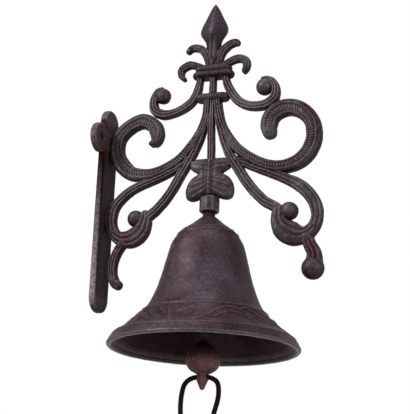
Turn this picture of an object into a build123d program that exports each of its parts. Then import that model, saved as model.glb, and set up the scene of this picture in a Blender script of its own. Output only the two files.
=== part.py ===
from build123d import *
from math import atan2, cos, degrees, hypot, radians, tan
import os

# A cast-iron door bell: a scrolled wall bracket, a bell bolted under it, and a clapper with a pull cord.
# Millimetres. +X stands out from the wall, +Z is up, and the origin is on the wall between the screw holes.
# Heights in the lists below are measured up from the mouth of the bell.

# Wall plate
SCREW_LEVEL = 133.2
PLATE_WIDTH = 20.0
PLATE_THICKNESS = 4.6
PLATE_BOTTOM = 24.5
PLATE_TOP = 155.4
PLATE_BEVEL = 1.5
EAR_SPACING = 29.0
EAR_RADIUS = 9.3
SCREW_HOLE_RADIUS = 2.4

# Tracery: one flat casting in the XZ plane
SCROLL_DEPTH = 8.0
ARM_DEPTH = 7.0
PETAL_DEPTH = 5.0
EDGE_BEVEL = 1.1
PETAL_BEVEL = 0.9
RIM_WIDTH = 1.6
CHANNEL_SINK = 1.3
ROPE_PITCH = 3.2
ROPE_RIDGE = 1.7
ROPE_STAND = 0.8
ROPE_SLANT = 20.0
REED_WIDTH = 1.3
REED_SINK = 0.8

# Each bar is a list of (distance from the wall, height, width) along its middle line
WALL_SCROLL = [
    (32.0, 130.6, 2.0), (35.0, 132.4, 6.2), (35.7, 137.2, 8.9), (33.2, 143.0, 9.4), (25.8, 146.8, 9.2),
    (17.2, 143.9, 8.7), (10.6, 137.6, 8.9), (8.8, 130.8, 9.4), (9.8, 124.0, 9.7), (13.9, 117.4, 10.2),
    (20.0, 112.4, 9.0), (28.0, 110.7, 7.6), (36.2, 111.5, 6.6), (44.3, 114.5, 6.2), (52.1, 119.4, 6.0),
    (58.3, 126.1, 5.8), (63.6, 134.0, 5.2), (67.0, 142.6, 4.6), (68.2, 150.0, 4.4), (68.2, 157.5, 4.4),
]
OUTER_SCROLL = [
    (109.0, 132.4, 8.6), (108.5, 137.0, 10.2), (110.2, 142.6, 10.4), (115.4, 146.6, 10.6), (122.6, 147.4, 10.2),
    (129.8, 144.2, 9.8), (135.0, 138.0, 9.6), (136.9, 131.0, 9.6), (136.2, 123.8, 9.6), (132.8, 117.0, 9.4),
    (127.0, 112.1, 8.8), (119.5, 109.9, 7.8), (111.6, 110.3, 7.1), (104.1, 113.0, 6.7), (97.0, 117.1, 6.5),
    (90.7, 121.9, 6.3), (85.6, 127.5, 6.1), (81.8, 133.5, 5.5), (78.5, 139.8, 5.0), (76.4, 147.4, 4.6),
    (74.8, 157.5, 4.4),
]
WALL_STEM = [
    (68.6, 146.0, 4.2), (66.2, 138.0, 4.8), (62.8, 129.0, 5.6), (58.0, 118.6, 5.8), (52.7, 109.3, 5.6),
    (48.2, 101.0, 5.6), (43.2, 93.6, 5.6), (37.7, 87.6, 5.6), (32.8, 83.6, 5.8),
]
OUTER_STEM = [
    (75.4, 146.0, 4.2), (77.6, 137.0, 4.6), (80.9, 127.0, 5.2), (84.9, 118.4, 6.2), (89.9, 110.5, 6.4),
    (95.2, 102.1, 6.6), (100.9, 94.9, 6.6), (107.0, 88.9, 6.4), (113.8, 84.8, 6.4),
]
WALL_BRANCH = [
    (54.5, 115.4, 3.8), (47.0, 111.9, 4.4), (38.0, 108.1, 4.8), (29.0, 105.0, 5.0), (21.0, 101.5, 5.4),
    (14.6, 96.8, 5.6), (10.0, 91.2, 6.2), (7.8, 84.6, 7.2), (8.6, 77.6, 7.2), (12.2, 72.1, 8.0),
    (17.6, 69.8, 10.4), (23.4, 70.6, 12.2), (28.2, 74.6, 11.6), (30.3, 80.2, 9.2), (30.8, 84.6, 6.4),
]
OUTER_BRANCH = [
    (88.5, 116.6, 4.4), (96.0, 112.5, 4.8), (104.0, 109.0, 5.2), (112.6, 105.4, 5.8), (120.4, 101.8, 6.3),
    (127.0, 98.2, 7.4), (132.2, 93.9, 7.8), (136.4, 88.5, 7.8), (138.9, 82.4, 7.6), (139.2, 76.4, 7.2),
    (136.8, 70.6, 7.8), (132.0, 67.0, 10.0), (125.8, 67.2, 14.0), (119.6, 70.6, 14.0), (116.3, 76.0, 10.4),
    (116.0, 82.0, 8.4),
]
WALL_TAIL = [
    (17.2, 67.8, 5.4), (13.2, 61.8, 5.6), (11.0, 54.8, 5.4), (11.0, 48.0, 5.6), (13.0, 42.6, 6.2),
    (14.6, 41.2, 6.2),
]
OUTER_TAIL = [(133.2, 65.4, 7.4), (135.2, 60.4, 7.8), (137.6, 55.4, 8.8), (137.8, 50.0, 10.2), (137.2, 47.0, 10.2)]
WALL_ARM = [
    (63.0, 173.0, 3.2), (61.9, 166.0, 4.4), (59.9, 160.2, 5.0), (56.4, 155.6, 5.0), (51.0, 152.3, 4.8),
    (45.0, 150.3, 4.8), (39.3, 150.1, 6.0), (34.0, 152.6, 6.0), (32.2, 157.0, 5.6), (32.6, 162.0, 4.4),
    (34.8, 166.0, 3.4), (38.0, 167.4, 1.8),
]
OUTER_ARM = [
    (79.2, 173.0, 4.0), (81.0, 166.4, 5.2), (84.4, 160.0, 5.8), (88.4, 154.9, 5.8), (94.2, 151.5, 5.6),
    (100.4, 150.3, 5.6), (106.8, 151.2, 5.8), (111.6, 155.2, 5.8), (112.3, 161.0, 5.0), (110.4, 165.4, 4.2),
    (107.0, 167.6, 3.0), (103.8, 167.8, 1.6),
]
MIDDLE_STEM = [(71.4, 175.0, 3.8), (71.3, 160.0, 4.2), (71.3, 140.0, 4.2), (72.0, 118.0, 4.4), (72.2, 100.0, 4.6)]
HIGH_WALL_PETAL = [(69.0, 180.0, 5.0), (66.4, 187.6, 5.6), (62.2, 192.6, 5.0), (57.0, 193.6, 4.4), (53.9, 191.4, 2.8)]
HIGH_OUTER_PETAL = [(74.0, 180.0, 5.0), (76.1, 188.1, 5.5), (80.4, 192.8, 5.2), (84.4, 194.5, 4.8), (86.2, 194.4, 4.4)]
LOW_WALL_PETAL = [
    (68.0, 176.6, 5.0), (61.6, 180.5, 4.4), (55.4, 182.2, 4.9), (50.4, 179.7, 4.8), (49.8, 175.8, 4.2),
    (51.8, 173.0, 3.0),
]
LOW_OUTER_PETAL = [
    (75.0, 176.6, 5.0), (81.4, 181.4, 4.8), (87.8, 183.4, 5.0), (92.5, 181.1, 5.3), (92.9, 177.2, 4.8),
    (91.8, 174.6, 3.4),
]

ARMS = (WALL_BRANCH, OUTER_BRANCH, WALL_STEM, OUTER_STEM, WALL_TAIL, OUTER_TAIL, WALL_ARM, OUTER_ARM, MIDDLE_STEM)
PETALS = (HIGH_WALL_PETAL, HIGH_OUTER_PETAL, LOW_WALL_PETAL, LOW_OUTER_PETAL)
ROPED = ((WALL_SCROLL, 0.03, 0.66), (OUTER_SCROLL, 0.03, 0.66))
# Reeds: (bar, front-to-back depth, sideways share of the half width, first and last share of the length)
REEDED = (
    (WALL_SCROLL, SCROLL_DEPTH, 0, 0.69, 0.97), (OUTER_SCROLL, SCROLL_DEPTH, 0, 0.69, 0.97),
    (WALL_STEM, ARM_DEPTH, 0, 0.04, 0.9), (OUTER_STEM, ARM_DEPTH, 0, 0.04, 0.9),
    (WALL_BRANCH, ARM_DEPTH, 0, 0.1, 0.74), (OUTER_BRANCH, ARM_DEPTH, 0, 0.1, 0.72),
    (WALL_BRANCH, ARM_DEPTH, 0.3, 0.78, 0.95), (OUTER_BRANCH, ARM_DEPTH, 0.35, 0.76, 0.94),
    (WALL_BRANCH, ARM_DEPTH, -0.25, 0.78, 0.94), (OUTER_BRANCH, ARM_DEPTH, -0.2, 0.76, 0.94),
    (WALL_ARM, ARM_DEPTH, 0, 0.1, 0.84), (OUTER_ARM, ARM_DEPTH, 0, 0.1, 0.84),
    (WALL_TAIL, ARM_DEPTH, 0, 0.2, 0.9), (MIDDLE_STEM, ARM_DEPTH, 0, 0.05, 0.7),
    (HIGH_WALL_PETAL, PETAL_DEPTH, 0, 0.3, 0.86), (HIGH_OUTER_PETAL, PETAL_DEPTH, 0, 0.3, 0.86),
    (LOW_WALL_PETAL, PETAL_DEPTH, 0, 0.3, 0.84), (LOW_OUTER_PETAL, PETAL_DEPTH, 0, 0.3, 0.84),
)

# Balls at the scroll ends: (distance from the wall, height, radius)
BALLS = [(38.1, 162.8, 5.1), (105.0, 162.7, 5.4), (24.2, 82.8, 5.3), (122.2, 81.8, 5.6), (137.0, 46.4, 6.8)]

# Finial
AXIS_X = 72.0
FINIAL_X = 70.8
COLLAR_X = 71.4
COLLAR_HEIGHT = 174.2
COLLAR_LENGTH = 27.2
COLLAR_DEPTH = 11.0
COLLAR_THICKNESS = 4.4
COLLAR_PAD = 21.0
WAIST_HEIGHT = 158.5
WAIST_LENGTH = 22.4
SPEAR_STATIONS = [(176.0, 10.0, 7.0), (186.0, 10.6, 8.0), (195.6, 10.6, 7.6), (203.6, 18.6, 10.0),
                  (213.0, 11.6, 7.0), (219.5, 5.2, 3.6), (222.6, 1.0, 0.9)]

# Leaf under the stems
LEAF_DEPTH = 6.4
LEAF_TOP = [(0.0, 118.6), (8.6, 118.4), (13.2, 117.0)]
LEAF_SHOULDER = [(13.2, 117.0), (12.9, 112.3), (7.8, 108.6)]
LEAF_LOBE = [(7.8, 108.6), (11.6, 106.2), (14.4, 102.4), (15.5, 97.6), (14.7, 93.2), (11.5, 91.4), (7.8, 92.0),
             (4.4, 93.6)]
VEIN_STAND = 1.0
MIDRIB = [(0.0, 117.0, 1.6), (0.0, 106.0, 2.2), (0.0, 95.0, 2.6)]
VEINS = [
    [(1.0, 111.6, 1.2), (6.0, 113.4, 1.2), (10.6, 114.2, 0.8)],
    [(1.0, 104.6, 1.2), (6.4, 102.6, 1.2), (11.6, 101.0, 0.8)],
    [(1.0, 102.2, 1.2), (6.8, 99.0, 1.2), (12.4, 96.4, 0.8)],
    [(1.0, 99.6, 1.2), (5.6, 96.4, 1.2), (9.8, 93.8, 0.8)],
]

# Boss that carries the bell
BOSS_RADIUS = 5.9
BOSS_BOTTOM = 84.0
BOSS_TOP = 95.0
BOSS_DOME = 3.0
SOCKET_DEPTH = 3.0
SOCKET_CLEARANCE = 0.4

# Bell: outside curve from crown to lip as (radius, height)
BELL_OUTSIDE = [
    (10.1, 76.0), (14.0, 73.1), (17.6, 70.0), (20.3, 66.0), (22.2, 62.0), (24.8, 52.0), (27.3, 42.0), (30.4, 32.6),
    (34.3, 24.4), (39.9, 18.0), (46.4, 11.9), (54.0, 6.2),
]
CROWN = [(3.8, 81.2), (6.4, 79.2)]
CROWN_WALL = 2.9
CROWN_THICKNESS = 2.4
LIP_WALL = 4.2
MOUTH_RADIUS = 57.0
LIP_WIDTH = 5.6
LIP_HEIGHT = 2.2
NECK_RADIUS = 3.8
RIDGES = [(37.0, 21.2, 0.8), (53.6, 6.6, 0.7), (17.4, 69.5, 0.5), (15.0, 71.7, 0.4)]

# Hanging bolt, washer and nut
BOLT_RADIUS = 2.5
BOLT_FIT = 0.1
BOLT_ENGAGEMENT = 7.0
WASHER_RADIUS = 6.0
WASHER_THICKNESS = 1.0
NUT_FLATS = 8.0
NUT_HEIGHT = 4.0
EYE_WIRE = 1.6
EYE_RADIUS = 4.2
EYE_DROP = 8.9

# Link and clapper
LINK_WIRE = 1.2
LINK_GAP = 0.3
LINK_PITCH = 10.0
CLAPPER_BALL = [(2.7, 4.6), (5.2, 2.9), (8.8, -1.2), (10.1, -6.0), (8.6, -10.8), (4.6, -13.6), (3.3, -14.6)]
CLAPPER_TAIL = [(3.5, -16.6), (2.6, -19.6), (1.4, -22.6)]
CLAPPER_TIP = -23.6
SHANK_RADIUS = 2.4
CORD_HOLE_HEIGHT = -15.6

# Pull cord: (sideways, up) from the middle of the hole in the clapper's tail
CORD_DIAMETER = 3.0
CORD_CLEARANCE = 0.3
CORD_ROUTE = [
    (-3.0, -72.0), (-3.0, -60.0), (-8.0, -44.5), (-12.4, -28.5), (-13.6, -13.5), (-10.2, 0.0), (8.8, 0.0),
    (11.2, -10.5), (7.4, -24.0), (4.6, -40.0), (1.0, -58.5), (1.0, -72.0),
]
CORD_LEAN = [0.0, 0.0, 1.2, 1.6, 0.8, 0.0, 0.0, -0.6, -1.4, -1.2, 0.0, 0.0]
KNOT_X = -1.0
KNOT_RADIUS = 4.6
KNOT_LENGTH = 12.0


def front(y):
    """Sketch plane parallel to the tracery, with heights from the mouth of the bell."""
    return Plane(origin=(0, y, -SCREW_LEVEL), x_dir=(1, 0, 0), z_dir=(0, -1, 0))


def middle_line(route):
    """Spline through the middle of a bar, with the share of its length at each station."""
    line = Edge.make_spline([Vector(x, z) for x, z, w in route])
    steps = [hypot(b[0] - a[0], b[1] - a[1]) for a, b in zip(route, route[1:])]
    shares = [sum(steps[:i]) / sum(steps) for i in range(len(route))]
    return line, shares


def beside(route, share):
    """The same route moved sideways by a share of its half width."""
    moved = []
    for i, (x, z, width) in enumerate(route):
        before, after = route[max(i - 1, 0)], route[min(i + 1, len(route) - 1)]
        run = hypot(after[0] - before[0], after[1] - before[1])
        step = share * width / 2 / run
        moved.append((x - (after[1] - before[1]) * step, z + (after[0] - before[0]) * step, width))
    return moved


def width_at(route, shares, share):
    """Width of a bar between two stations."""
    for i in range(len(route) - 1):
        if share <= shares[i + 1]:
            part = (share - shares[i]) / (shares[i + 1] - shares[i])
            return route[i][2] + part * (route[i + 1][2] - route[i][2])
    return route[-1][2]


def bar_face(route, y, inset, first=0.0, last=1.0, cap=True):
    """Outline of a bar at depth y, drawn in by the inset."""
    line, shares = middle_line(route)
    count = len(route) + 4
    one_side, other_side = [], []
    for i in range(count):
        share = first + (last - first) * i / (count - 1)
        half = max(width_at(route, shares, share) / 2 - inset, 0.25)
        along = line.tangent_at(share)
        across = Vector(-along.Y, along.X)
        middle = line.position_at(share)
        one_side.append(middle + across * half)
        other_side.append(middle - across * half)
    start_way, end_way = line.tangent_at(first), line.tangent_at(last)
    start_half = (one_side[0] - other_side[0]).length / 2
    end_half = (one_side[-1] - other_side[-1]).length / 2
    start_tip = line.position_at(first) - start_way * start_half
    end_tip = line.position_at(last) + end_way * end_half
    with BuildSketch(front(y)) as outline:
        with BuildLine():
            Spline(*one_side)
            if cap:
                ThreePointArc(one_side[-1], end_tip, other_side[-1])
            else:
                Line(one_side[-1], other_side[-1])
            Spline(*reversed(other_side))
            if cap:
                ThreePointArc(other_side[0], start_tip, one_side[0])
            else:
                Line(other_side[0], one_side[0])
        make_face()
    return outline.sketch


def bar(route, depth, bevel=EDGE_BEVEL):
    """A cast bar with bevelled edges along a route in the tracery."""
    half = depth / 2
    levels = ((-half, bevel), (bevel - half, 0), (half - bevel, 0), (half, bevel))
    return loft([bar_face(route, y, inset) for y, inset in levels], ruled=True, mode=Mode.PRIVATE)


def grooves(route, depth, width, sink, first, last):
    """Two shallow grooves along the middle of a bar, one on each face."""
    narrow = [(x, z, width) for x, z, w in route] if width else [(x, z, w - 2 * RIM_WIDTH) for x, z, w in route]
    cuts = []
    for side in (-1, 1):
        top = bar_face(narrow, side * (depth / 2 + 0.4), -0.1, first, last)
        foot = bar_face(narrow, side * (depth / 2 - sink), 0.3, first, last)
        cuts.append(loft([top, foot], ruled=True, mode=Mode.PRIVATE))
    return cuts


def rope(route, depth, sink, first, last):
    """Slanting ridges across the sunk channel of a scroll, on both faces."""
    line, shares = middle_line(route)
    count = int(line.length * (last - first) / ROPE_PITCH)
    ridges = []
    for i in range(count):
        share = first + (last - first) * (i + 0.5) / count
        middle = line.position_at(share)
        along = line.tangent_at(share)
        length = width_at(route, shares, share) - 2 * RIM_WIDTH
        turn = degrees(atan2(along.Y, along.X)) + 90 - ROPE_SLANT
        for side in (-1, 1):
            y = side * (depth / 2 - sink + ROPE_STAND / 2 - 0.2)
            ridge = Box(length / cos(radians(ROPE_SLANT)), ROPE_STAND + 0.4, ROPE_RIDGE, mode=Mode.PRIVATE)
            ridges.append(Pos(middle.X, y, middle.Y - SCREW_LEVEL) * Rot(0, -turn, 0) * ridge)
    return ridges


# Wall plate with two ears
with BuildPart() as bracket:
    with BuildSketch(Plane(origin=(0, 0, -SCREW_LEVEL), x_dir=(0, 1, 0), z_dir=(1, 0, 0))):
        with Locations((0, (PLATE_BOTTOM + PLATE_TOP) / 2)):
            RectangleRounded(PLATE_WIDTH, PLATE_TOP - PLATE_BOTTOM, PLATE_WIDTH * 0.46)
        with Locations((-EAR_SPACING / 2, SCREW_LEVEL), (EAR_SPACING / 2, SCREW_LEVEL)):
            Circle(EAR_RADIUS)
        with Locations((-EAR_SPACING / 2, SCREW_LEVEL), (EAR_SPACING / 2, SCREW_LEVEL)):
            Circle(SCREW_HOLE_RADIUS, mode=Mode.SUBTRACT)
    extrude(amount=PLATE_THICKNESS)
    chamfer(bracket.faces().sort_by(Axis.X)[-1].outer_wire().edges(), PLATE_BEVEL)

    # Bars of the tracery
    add([bar(route, SCROLL_DEPTH) for route in (WALL_SCROLL, OUTER_SCROLL)])
    add([bar(route, ARM_DEPTH) for route in ARMS])
    add([bar(route, PETAL_DEPTH, PETAL_BEVEL) for route in PETALS])

    # Balls caught in the curls
    for x, z, radius in BALLS:
        with Locations((x, 0, z - SCREW_LEVEL)):
            Sphere(radius)

    # Leaf where the stems meet
    with BuildSketch(front(0)):
        for side in (-1, 1):
            with BuildLine():
                Polyline(*[(AXIS_X + side * x, z) for x, z in LEAF_TOP])
                Spline(*[(AXIS_X + side * x, z) for x, z in LEAF_SHOULDER])
                Spline(*[(AXIS_X + side * x, z) for x, z in LEAF_LOBE])
                Polyline((AXIS_X + side * LEAF_LOBE[-1][0], LEAF_LOBE[-1][1]), (AXIS_X, LEAF_LOBE[-1][1]),
                         (AXIS_X, LEAF_TOP[0][1]))
            make_face()
    extrude(amount=LEAF_DEPTH / 2, both=True)

    ribs = [[(AXIS_X, z, w) for x, z, w in MIDRIB]]
    for vein in VEINS:
        for side in (-1, 1):
            ribs.append([(AXIS_X + side * x, z, w) for x, z, w in vein])
    add([bar(rib, LEAF_DEPTH + 2 * VEIN_STAND, VEIN_STAND * 0.4) for rib in ribs])

    # Collar and waist band
    with BuildSketch(Plane.XY.offset(COLLAR_HEIGHT - COLLAR_THICKNESS / 2 - SCREW_LEVEL)):
        with Locations((COLLAR_X, 0)):
            SlotOverall(COLLAR_LENGTH, COLLAR_DEPTH)
    extrude(amount=COLLAR_THICKNESS)
    with BuildSketch(Plane.XY.offset(COLLAR_HEIGHT - SCREW_LEVEL)):
        with Locations((COLLAR_X, 0)):
            SlotOverall(COLLAR_PAD, COLLAR_DEPTH - 2)
    extrude(amount=COLLAR_THICKNESS + 1.4)
    with BuildSketch(Plane.XY.offset(WAIST_HEIGHT - COLLAR_THICKNESS / 2 - SCREW_LEVEL)):
        with Locations((COLLAR_X, 0)):
            SlotOverall(WAIST_LENGTH, COLLAR_DEPTH - 1.4)
    extrude(amount=COLLAR_THICKNESS)

    # Spearhead with four faces
    for z, width, depth in SPEAR_STATIONS:
        with BuildSketch(Plane.XY.offset(z - SCREW_LEVEL)):
            with Locations((FINIAL_X, 0)):
                Polygon((width / 2, 0), (0, depth / 2), (-width / 2, 0), (0, -depth / 2), align=None)
    loft(ruled=True)

    # Boss with a socket and a threaded hole
    with BuildSketch(Plane.XY.offset(BOSS_BOTTOM - SCREW_LEVEL)):
        with Locations((AXIS_X, 0)):
            Circle(BOSS_RADIUS)
    extrude(amount=BOSS_TOP - BOSS_BOTTOM)
    with Locations((AXIS_X, 0, BOSS_TOP + BOSS_DOME / 2 - SCREW_LEVEL)):
        Cone(BOSS_RADIUS, BOSS_RADIUS / 2, BOSS_DOME)
    with BuildSketch(Plane.XY.offset(BOSS_BOTTOM - SCREW_LEVEL)):
        with Locations((AXIS_X, 0)):
            Circle(NECK_RADIUS + SOCKET_CLEARANCE)
    extrude(amount=SOCKET_DEPTH, mode=Mode.SUBTRACT)
    with BuildSketch(Plane.XY.offset(BOSS_BOTTOM - SCREW_LEVEL)):
        with Locations((AXIS_X, 0)):
            Circle(BOLT_RADIUS + BOLT_FIT)
    extrude(amount=SOCKET_DEPTH + BOLT_ENGAGEMENT + 0.3, mode=Mode.SUBTRACT)

    # Roped channels and reeds
    cuts = []
    for route, first, last in ROPED:
        cuts += grooves(route, SCROLL_DEPTH, None, CHANNEL_SINK, first, last)
    for route, depth, share, first, last in REEDED:
        cuts += grooves(beside(route, share), depth, REED_WIDTH, REED_SINK, first, last)
    add(cuts, mode=Mode.SUBTRACT, clean=False)
    ridges = []
    for route, first, last in ROPED:
        ridges += rope(route, SCROLL_DEPTH, CHANNEL_SINK, first, last)
    add(ridges, clean=False)

# Bell
outside = Edge.make_spline([Vector(r, z) for r, z in BELL_OUTSIDE])
inside_points = []
for i in range(13):
    share = i / 12
    along = outside.tangent_at(share)
    wall = CROWN_WALL + (LIP_WALL - CROWN_WALL) * share
    inside_points.append(outside.position_at(share) + Vector(along.Y, -along.X) * wall)
ceiling = BELL_OUTSIDE[0][1] - CROWN_THICKNESS
neck_top = BOSS_BOTTOM + SOCKET_DEPTH
lip_out = (MOUTH_RADIUS, LIP_HEIGHT)
lip_in = (MOUTH_RADIUS - LIP_WIDTH, LIP_HEIGHT)
bell_axis = Axis((AXIS_X, 0, 0), (0, 0, 1))
with BuildPart() as bell:
    with BuildSketch(Plane(origin=(AXIS_X, 0, -SCREW_LEVEL), x_dir=(1, 0, 0), z_dir=(0, -1, 0))):
        with BuildLine():
            Polyline((BOLT_RADIUS + BOLT_FIT, ceiling), (BOLT_RADIUS + BOLT_FIT, neck_top), (NECK_RADIUS, neck_top),
                     CROWN[0])
            Spline(CROWN[0], CROWN[1], *BELL_OUTSIDE, lip_out)
            ThreePointArc(lip_out, (MOUTH_RADIUS - LIP_WIDTH / 2, 0), lip_in)
            Spline(lip_in, *reversed(inside_points))
            Line(inside_points[0], (inside_points[0].X, ceiling))
            Line((inside_points[0].X, ceiling), (BOLT_RADIUS + BOLT_FIT, ceiling))
        make_face()
    revolve(axis=bell_axis)
    for radius, z, size in RIDGES:
        with Locations((AXIS_X, 0, z - SCREW_LEVEL)):
            Torus(radius, size)

# Eye bolt that holds the bell
eye_height = ceiling - WASHER_THICKNESS - NUT_HEIGHT - EYE_DROP
with BuildPart() as eye_bolt:
    with BuildSketch(Plane.XY.offset(eye_height + EYE_RADIUS - SCREW_LEVEL)):
        with Locations((AXIS_X, 0)):
            Circle(BOLT_RADIUS)
    extrude(amount=neck_top + BOLT_ENGAGEMENT - eye_height - EYE_RADIUS)
    with Locations(Location((AXIS_X, 0, eye_height - SCREW_LEVEL), (90, 0, 0))):
        Torus(EYE_RADIUS, EYE_WIRE)

# Washer and nut under the crown
with BuildPart() as washer:
    with BuildSketch(Plane.XY.offset(ceiling - WASHER_THICKNESS - SCREW_LEVEL)):
        with Locations((AXIS_X, 0)):
            Circle(WASHER_RADIUS)
            Circle(BOLT_RADIUS + BOLT_FIT, mode=Mode.SUBTRACT)
    extrude(amount=WASHER_THICKNESS)
with BuildPart() as hex_nut:
    with BuildSketch(Plane.XY.offset(ceiling - WASHER_THICKNESS - NUT_HEIGHT - SCREW_LEVEL)):
        with Locations((AXIS_X, 0)):
            RegularPolygon(NUT_FLATS / 2, 6, major_radius=False)
            Circle(BOLT_RADIUS + BOLT_FIT, mode=Mode.SUBTRACT)
    extrude(amount=NUT_HEIGHT)

# Link between the eye bolt and the clapper
link_top = eye_height - EYE_RADIUS
link_radius = EYE_WIRE + LINK_GAP + LINK_WIRE
link_side = Plane(origin=(AXIS_X, 0, link_top - LINK_PITCH / 2 - SCREW_LEVEL), x_dir=(0, 1, 0), z_dir=(1, 0, 0))
with BuildPart() as link:
    with BuildLine(link_side) as link_line:
        Line((link_radius, -LINK_PITCH / 2), (link_radius, LINK_PITCH / 2))
        ThreePointArc((link_radius, LINK_PITCH / 2), (0, LINK_PITCH / 2 + link_radius),
                      (-link_radius, LINK_PITCH / 2))
        Line((-link_radius, LINK_PITCH / 2), (-link_radius, -LINK_PITCH / 2))
        ThreePointArc((-link_radius, -LINK_PITCH / 2), (0, -LINK_PITCH / 2 - link_radius),
                      (link_radius, -LINK_PITCH / 2))
    with BuildSketch(Plane(origin=link_line.line @ 0, z_dir=link_line.line % 0)):
        Circle(LINK_WIRE)
    sweep(path=link_line.line)

# Clapper
clapper_pivot = link_top - LINK_PITCH - link_radius
clapper_ring = LINK_WIRE + LINK_GAP + EYE_WIRE
with BuildPart() as clapper:
    with BuildSketch(Plane(origin=(AXIS_X, 0, -SCREW_LEVEL), x_dir=(1, 0, 0), z_dir=(0, -1, 0))):
        with BuildLine():
            Polyline((0, clapper_pivot - clapper_ring), (SHANK_RADIUS, clapper_pivot - clapper_ring - 1),
                     (SHANK_RADIUS, CLAPPER_BALL[0][1] + 4))
            Spline((SHANK_RADIUS, CLAPPER_BALL[0][1] + 4), *CLAPPER_BALL, *CLAPPER_TAIL)
            Polyline(CLAPPER_TAIL[-1], (0, CLAPPER_TIP), (0, clapper_pivot - clapper_ring))
        make_face()
    revolve(axis=bell_axis)
    with Locations(Location((AXIS_X, 0, clapper_pivot - SCREW_LEVEL), (90, 0, 0))):
        Torus(clapper_ring, EYE_WIRE)
    with Locations(Location((AXIS_X, 0, CORD_HOLE_HEIGHT - SCREW_LEVEL), (0, 90, 0))):
        Cylinder(CORD_DIAMETER / 2 + CORD_CLEARANCE, 20, mode=Mode.SUBTRACT)

# Pull cord, looped through the clapper's tail
cord_points = []
for (x, z), y in zip(CORD_ROUTE, CORD_LEAN):
    cord_points.append(Vector(AXIS_X + x, y, CORD_HOLE_HEIGHT + z - SCREW_LEVEL))
cord_radii = []
for before, here, after in zip(cord_points, cord_points[1:], cord_points[2:]):
    run = min((here - before).length, (after - here).length)
    turn = (here - before).get_angle(after - here)
    cord_radii.append(0.45 * run / tan(radians(turn) / 2))
print("cord radii", [round(radius, 1) for radius in cord_radii])
with BuildPart() as pull_cord:
    with BuildLine() as cord_line:
        FilletPolyline(*cord_points, radius=cord_radii)
    with BuildSketch(Plane(origin=cord_line.line @ 0, z_dir=cord_line.line % 0)):
        Circle(CORD_DIAMETER / 2)
    sweep(path=cord_line.line)
cord_section = 3.14159 * (CORD_DIAMETER / 2) ** 2
cord_length = sum(edge.length for edge in cord_line.edges())
print("cord length", round(cord_length, 1), "volume", round(pull_cord.part.volume, 1),
      "section by length", round(cord_section * cord_length, 1))

# Knot at the foot of the cord
knot_top = CORD_HOLE_HEIGHT + CORD_ROUTE[0][1]
with BuildPart() as cord_knot:
    with BuildSketch(Plane(origin=(AXIS_X + KNOT_X, 0, knot_top - SCREW_LEVEL), x_dir=(1, 0, 0), z_dir=(0, -1, 0))):
        with BuildLine():
            Line((0, 0), (KNOT_RADIUS * 0.85, 0))
            Spline((KNOT_RADIUS * 0.85, 0), (KNOT_RADIUS, -KNOT_LENGTH * 0.3), (KNOT_RADIUS * 0.8, -KNOT_LENGTH * 0.62),
                   (KNOT_RADIUS * 0.45, -KNOT_LENGTH))
            Polyline((KNOT_RADIUS * 0.45, -KNOT_LENGTH), (0, -KNOT_LENGTH), (0, 0))
        make_face()
    revolve(axis=Axis((AXIS_X + KNOT_X, 0, 0), (0, 0, 1)))

# Out
os.makedirs("parts", exist_ok=True)
bracket.part.label = "bracket"
bell.part.label = "bell"
eye_bolt.part.label = "eye_bolt"
washer.part.label = "washer"
hex_nut.part.label = "hex_nut"
link.part.label = "link"
clapper.part.label = "clapper"
pull_cord.part.label = "pull_cord"
cord_knot.part.label = "cord_knot"
export_step(bracket.part, "parts/bracket.step")
export_step(bell.part, "parts/bell.step")
export_step(eye_bolt.part, "parts/eye_bolt.step")
export_step(washer.part, "parts/washer.step")
export_step(hex_nut.part, "parts/hex_nut.step")
export_step(link.part, "parts/link.step")
export_step(clapper.part, "parts/clapper.step")
export_step(pull_cord.part, "parts/pull_cord.step")
export_step(cord_knot.part, "parts/cord_knot.step")
print("bracket pieces", len(bracket.part.solids()))
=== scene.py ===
from math import atan2, cos, pi, sin, sqrt

import bmesh
import bpy
import numpy as np
from bpy.props import FloatProperty, FloatVectorProperty, IntProperty, PointerProperty
from mathutils import Matrix, Vector, noise


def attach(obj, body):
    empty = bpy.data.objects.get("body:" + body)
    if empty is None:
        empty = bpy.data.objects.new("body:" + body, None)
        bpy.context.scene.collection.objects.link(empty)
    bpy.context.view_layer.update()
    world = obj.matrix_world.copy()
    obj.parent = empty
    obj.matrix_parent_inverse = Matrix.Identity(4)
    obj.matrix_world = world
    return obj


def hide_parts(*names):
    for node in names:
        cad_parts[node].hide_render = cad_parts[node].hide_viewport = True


bl_info = {
    "name": "Cast-iron wall bell",
    "version": (1, 0, 0),
    "blender": (4, 5, 0),
    "location": "View3D > Sidebar > Wall bell",
    "description": "Builds the looks of a wall bell on a scrolled bracket over its packed model",
    "category": "Object",
}

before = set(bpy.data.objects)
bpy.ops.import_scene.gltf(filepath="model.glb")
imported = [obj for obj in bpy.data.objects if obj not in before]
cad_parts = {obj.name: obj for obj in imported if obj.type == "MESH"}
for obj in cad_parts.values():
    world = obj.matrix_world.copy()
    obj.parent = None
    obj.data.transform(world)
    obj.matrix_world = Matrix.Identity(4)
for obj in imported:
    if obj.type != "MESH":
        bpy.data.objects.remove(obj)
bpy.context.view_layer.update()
MM = 0.001

# Real sizes of the casting in millimetres, with heights from the mouth of the bell
SCREW_LEVEL = 133.2
PLATE_WIDTH = 20.0
PLATE_THICKNESS = 4.6
PLATE_BOTTOM = 24.5
PLATE_TOP = 155.4
PLATE_CORNER = 9.2
PLATE_BEVEL = 1.4
EAR_SPACING = 29.0
EAR_RADIUS = 9.3
SCREW_HOLE_RADIUS = 2.4
AXIS_X = 72.0
COLLAR_X = 71.4
FINIAL_X = 70.8
BALLS = [(38.1, 162.8, 5.1), (105.0, 162.7, 5.4), (24.2, 82.8, 5.3), (122.2, 81.8, 5.6), (137.0, 46.4, 6.8)]

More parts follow.
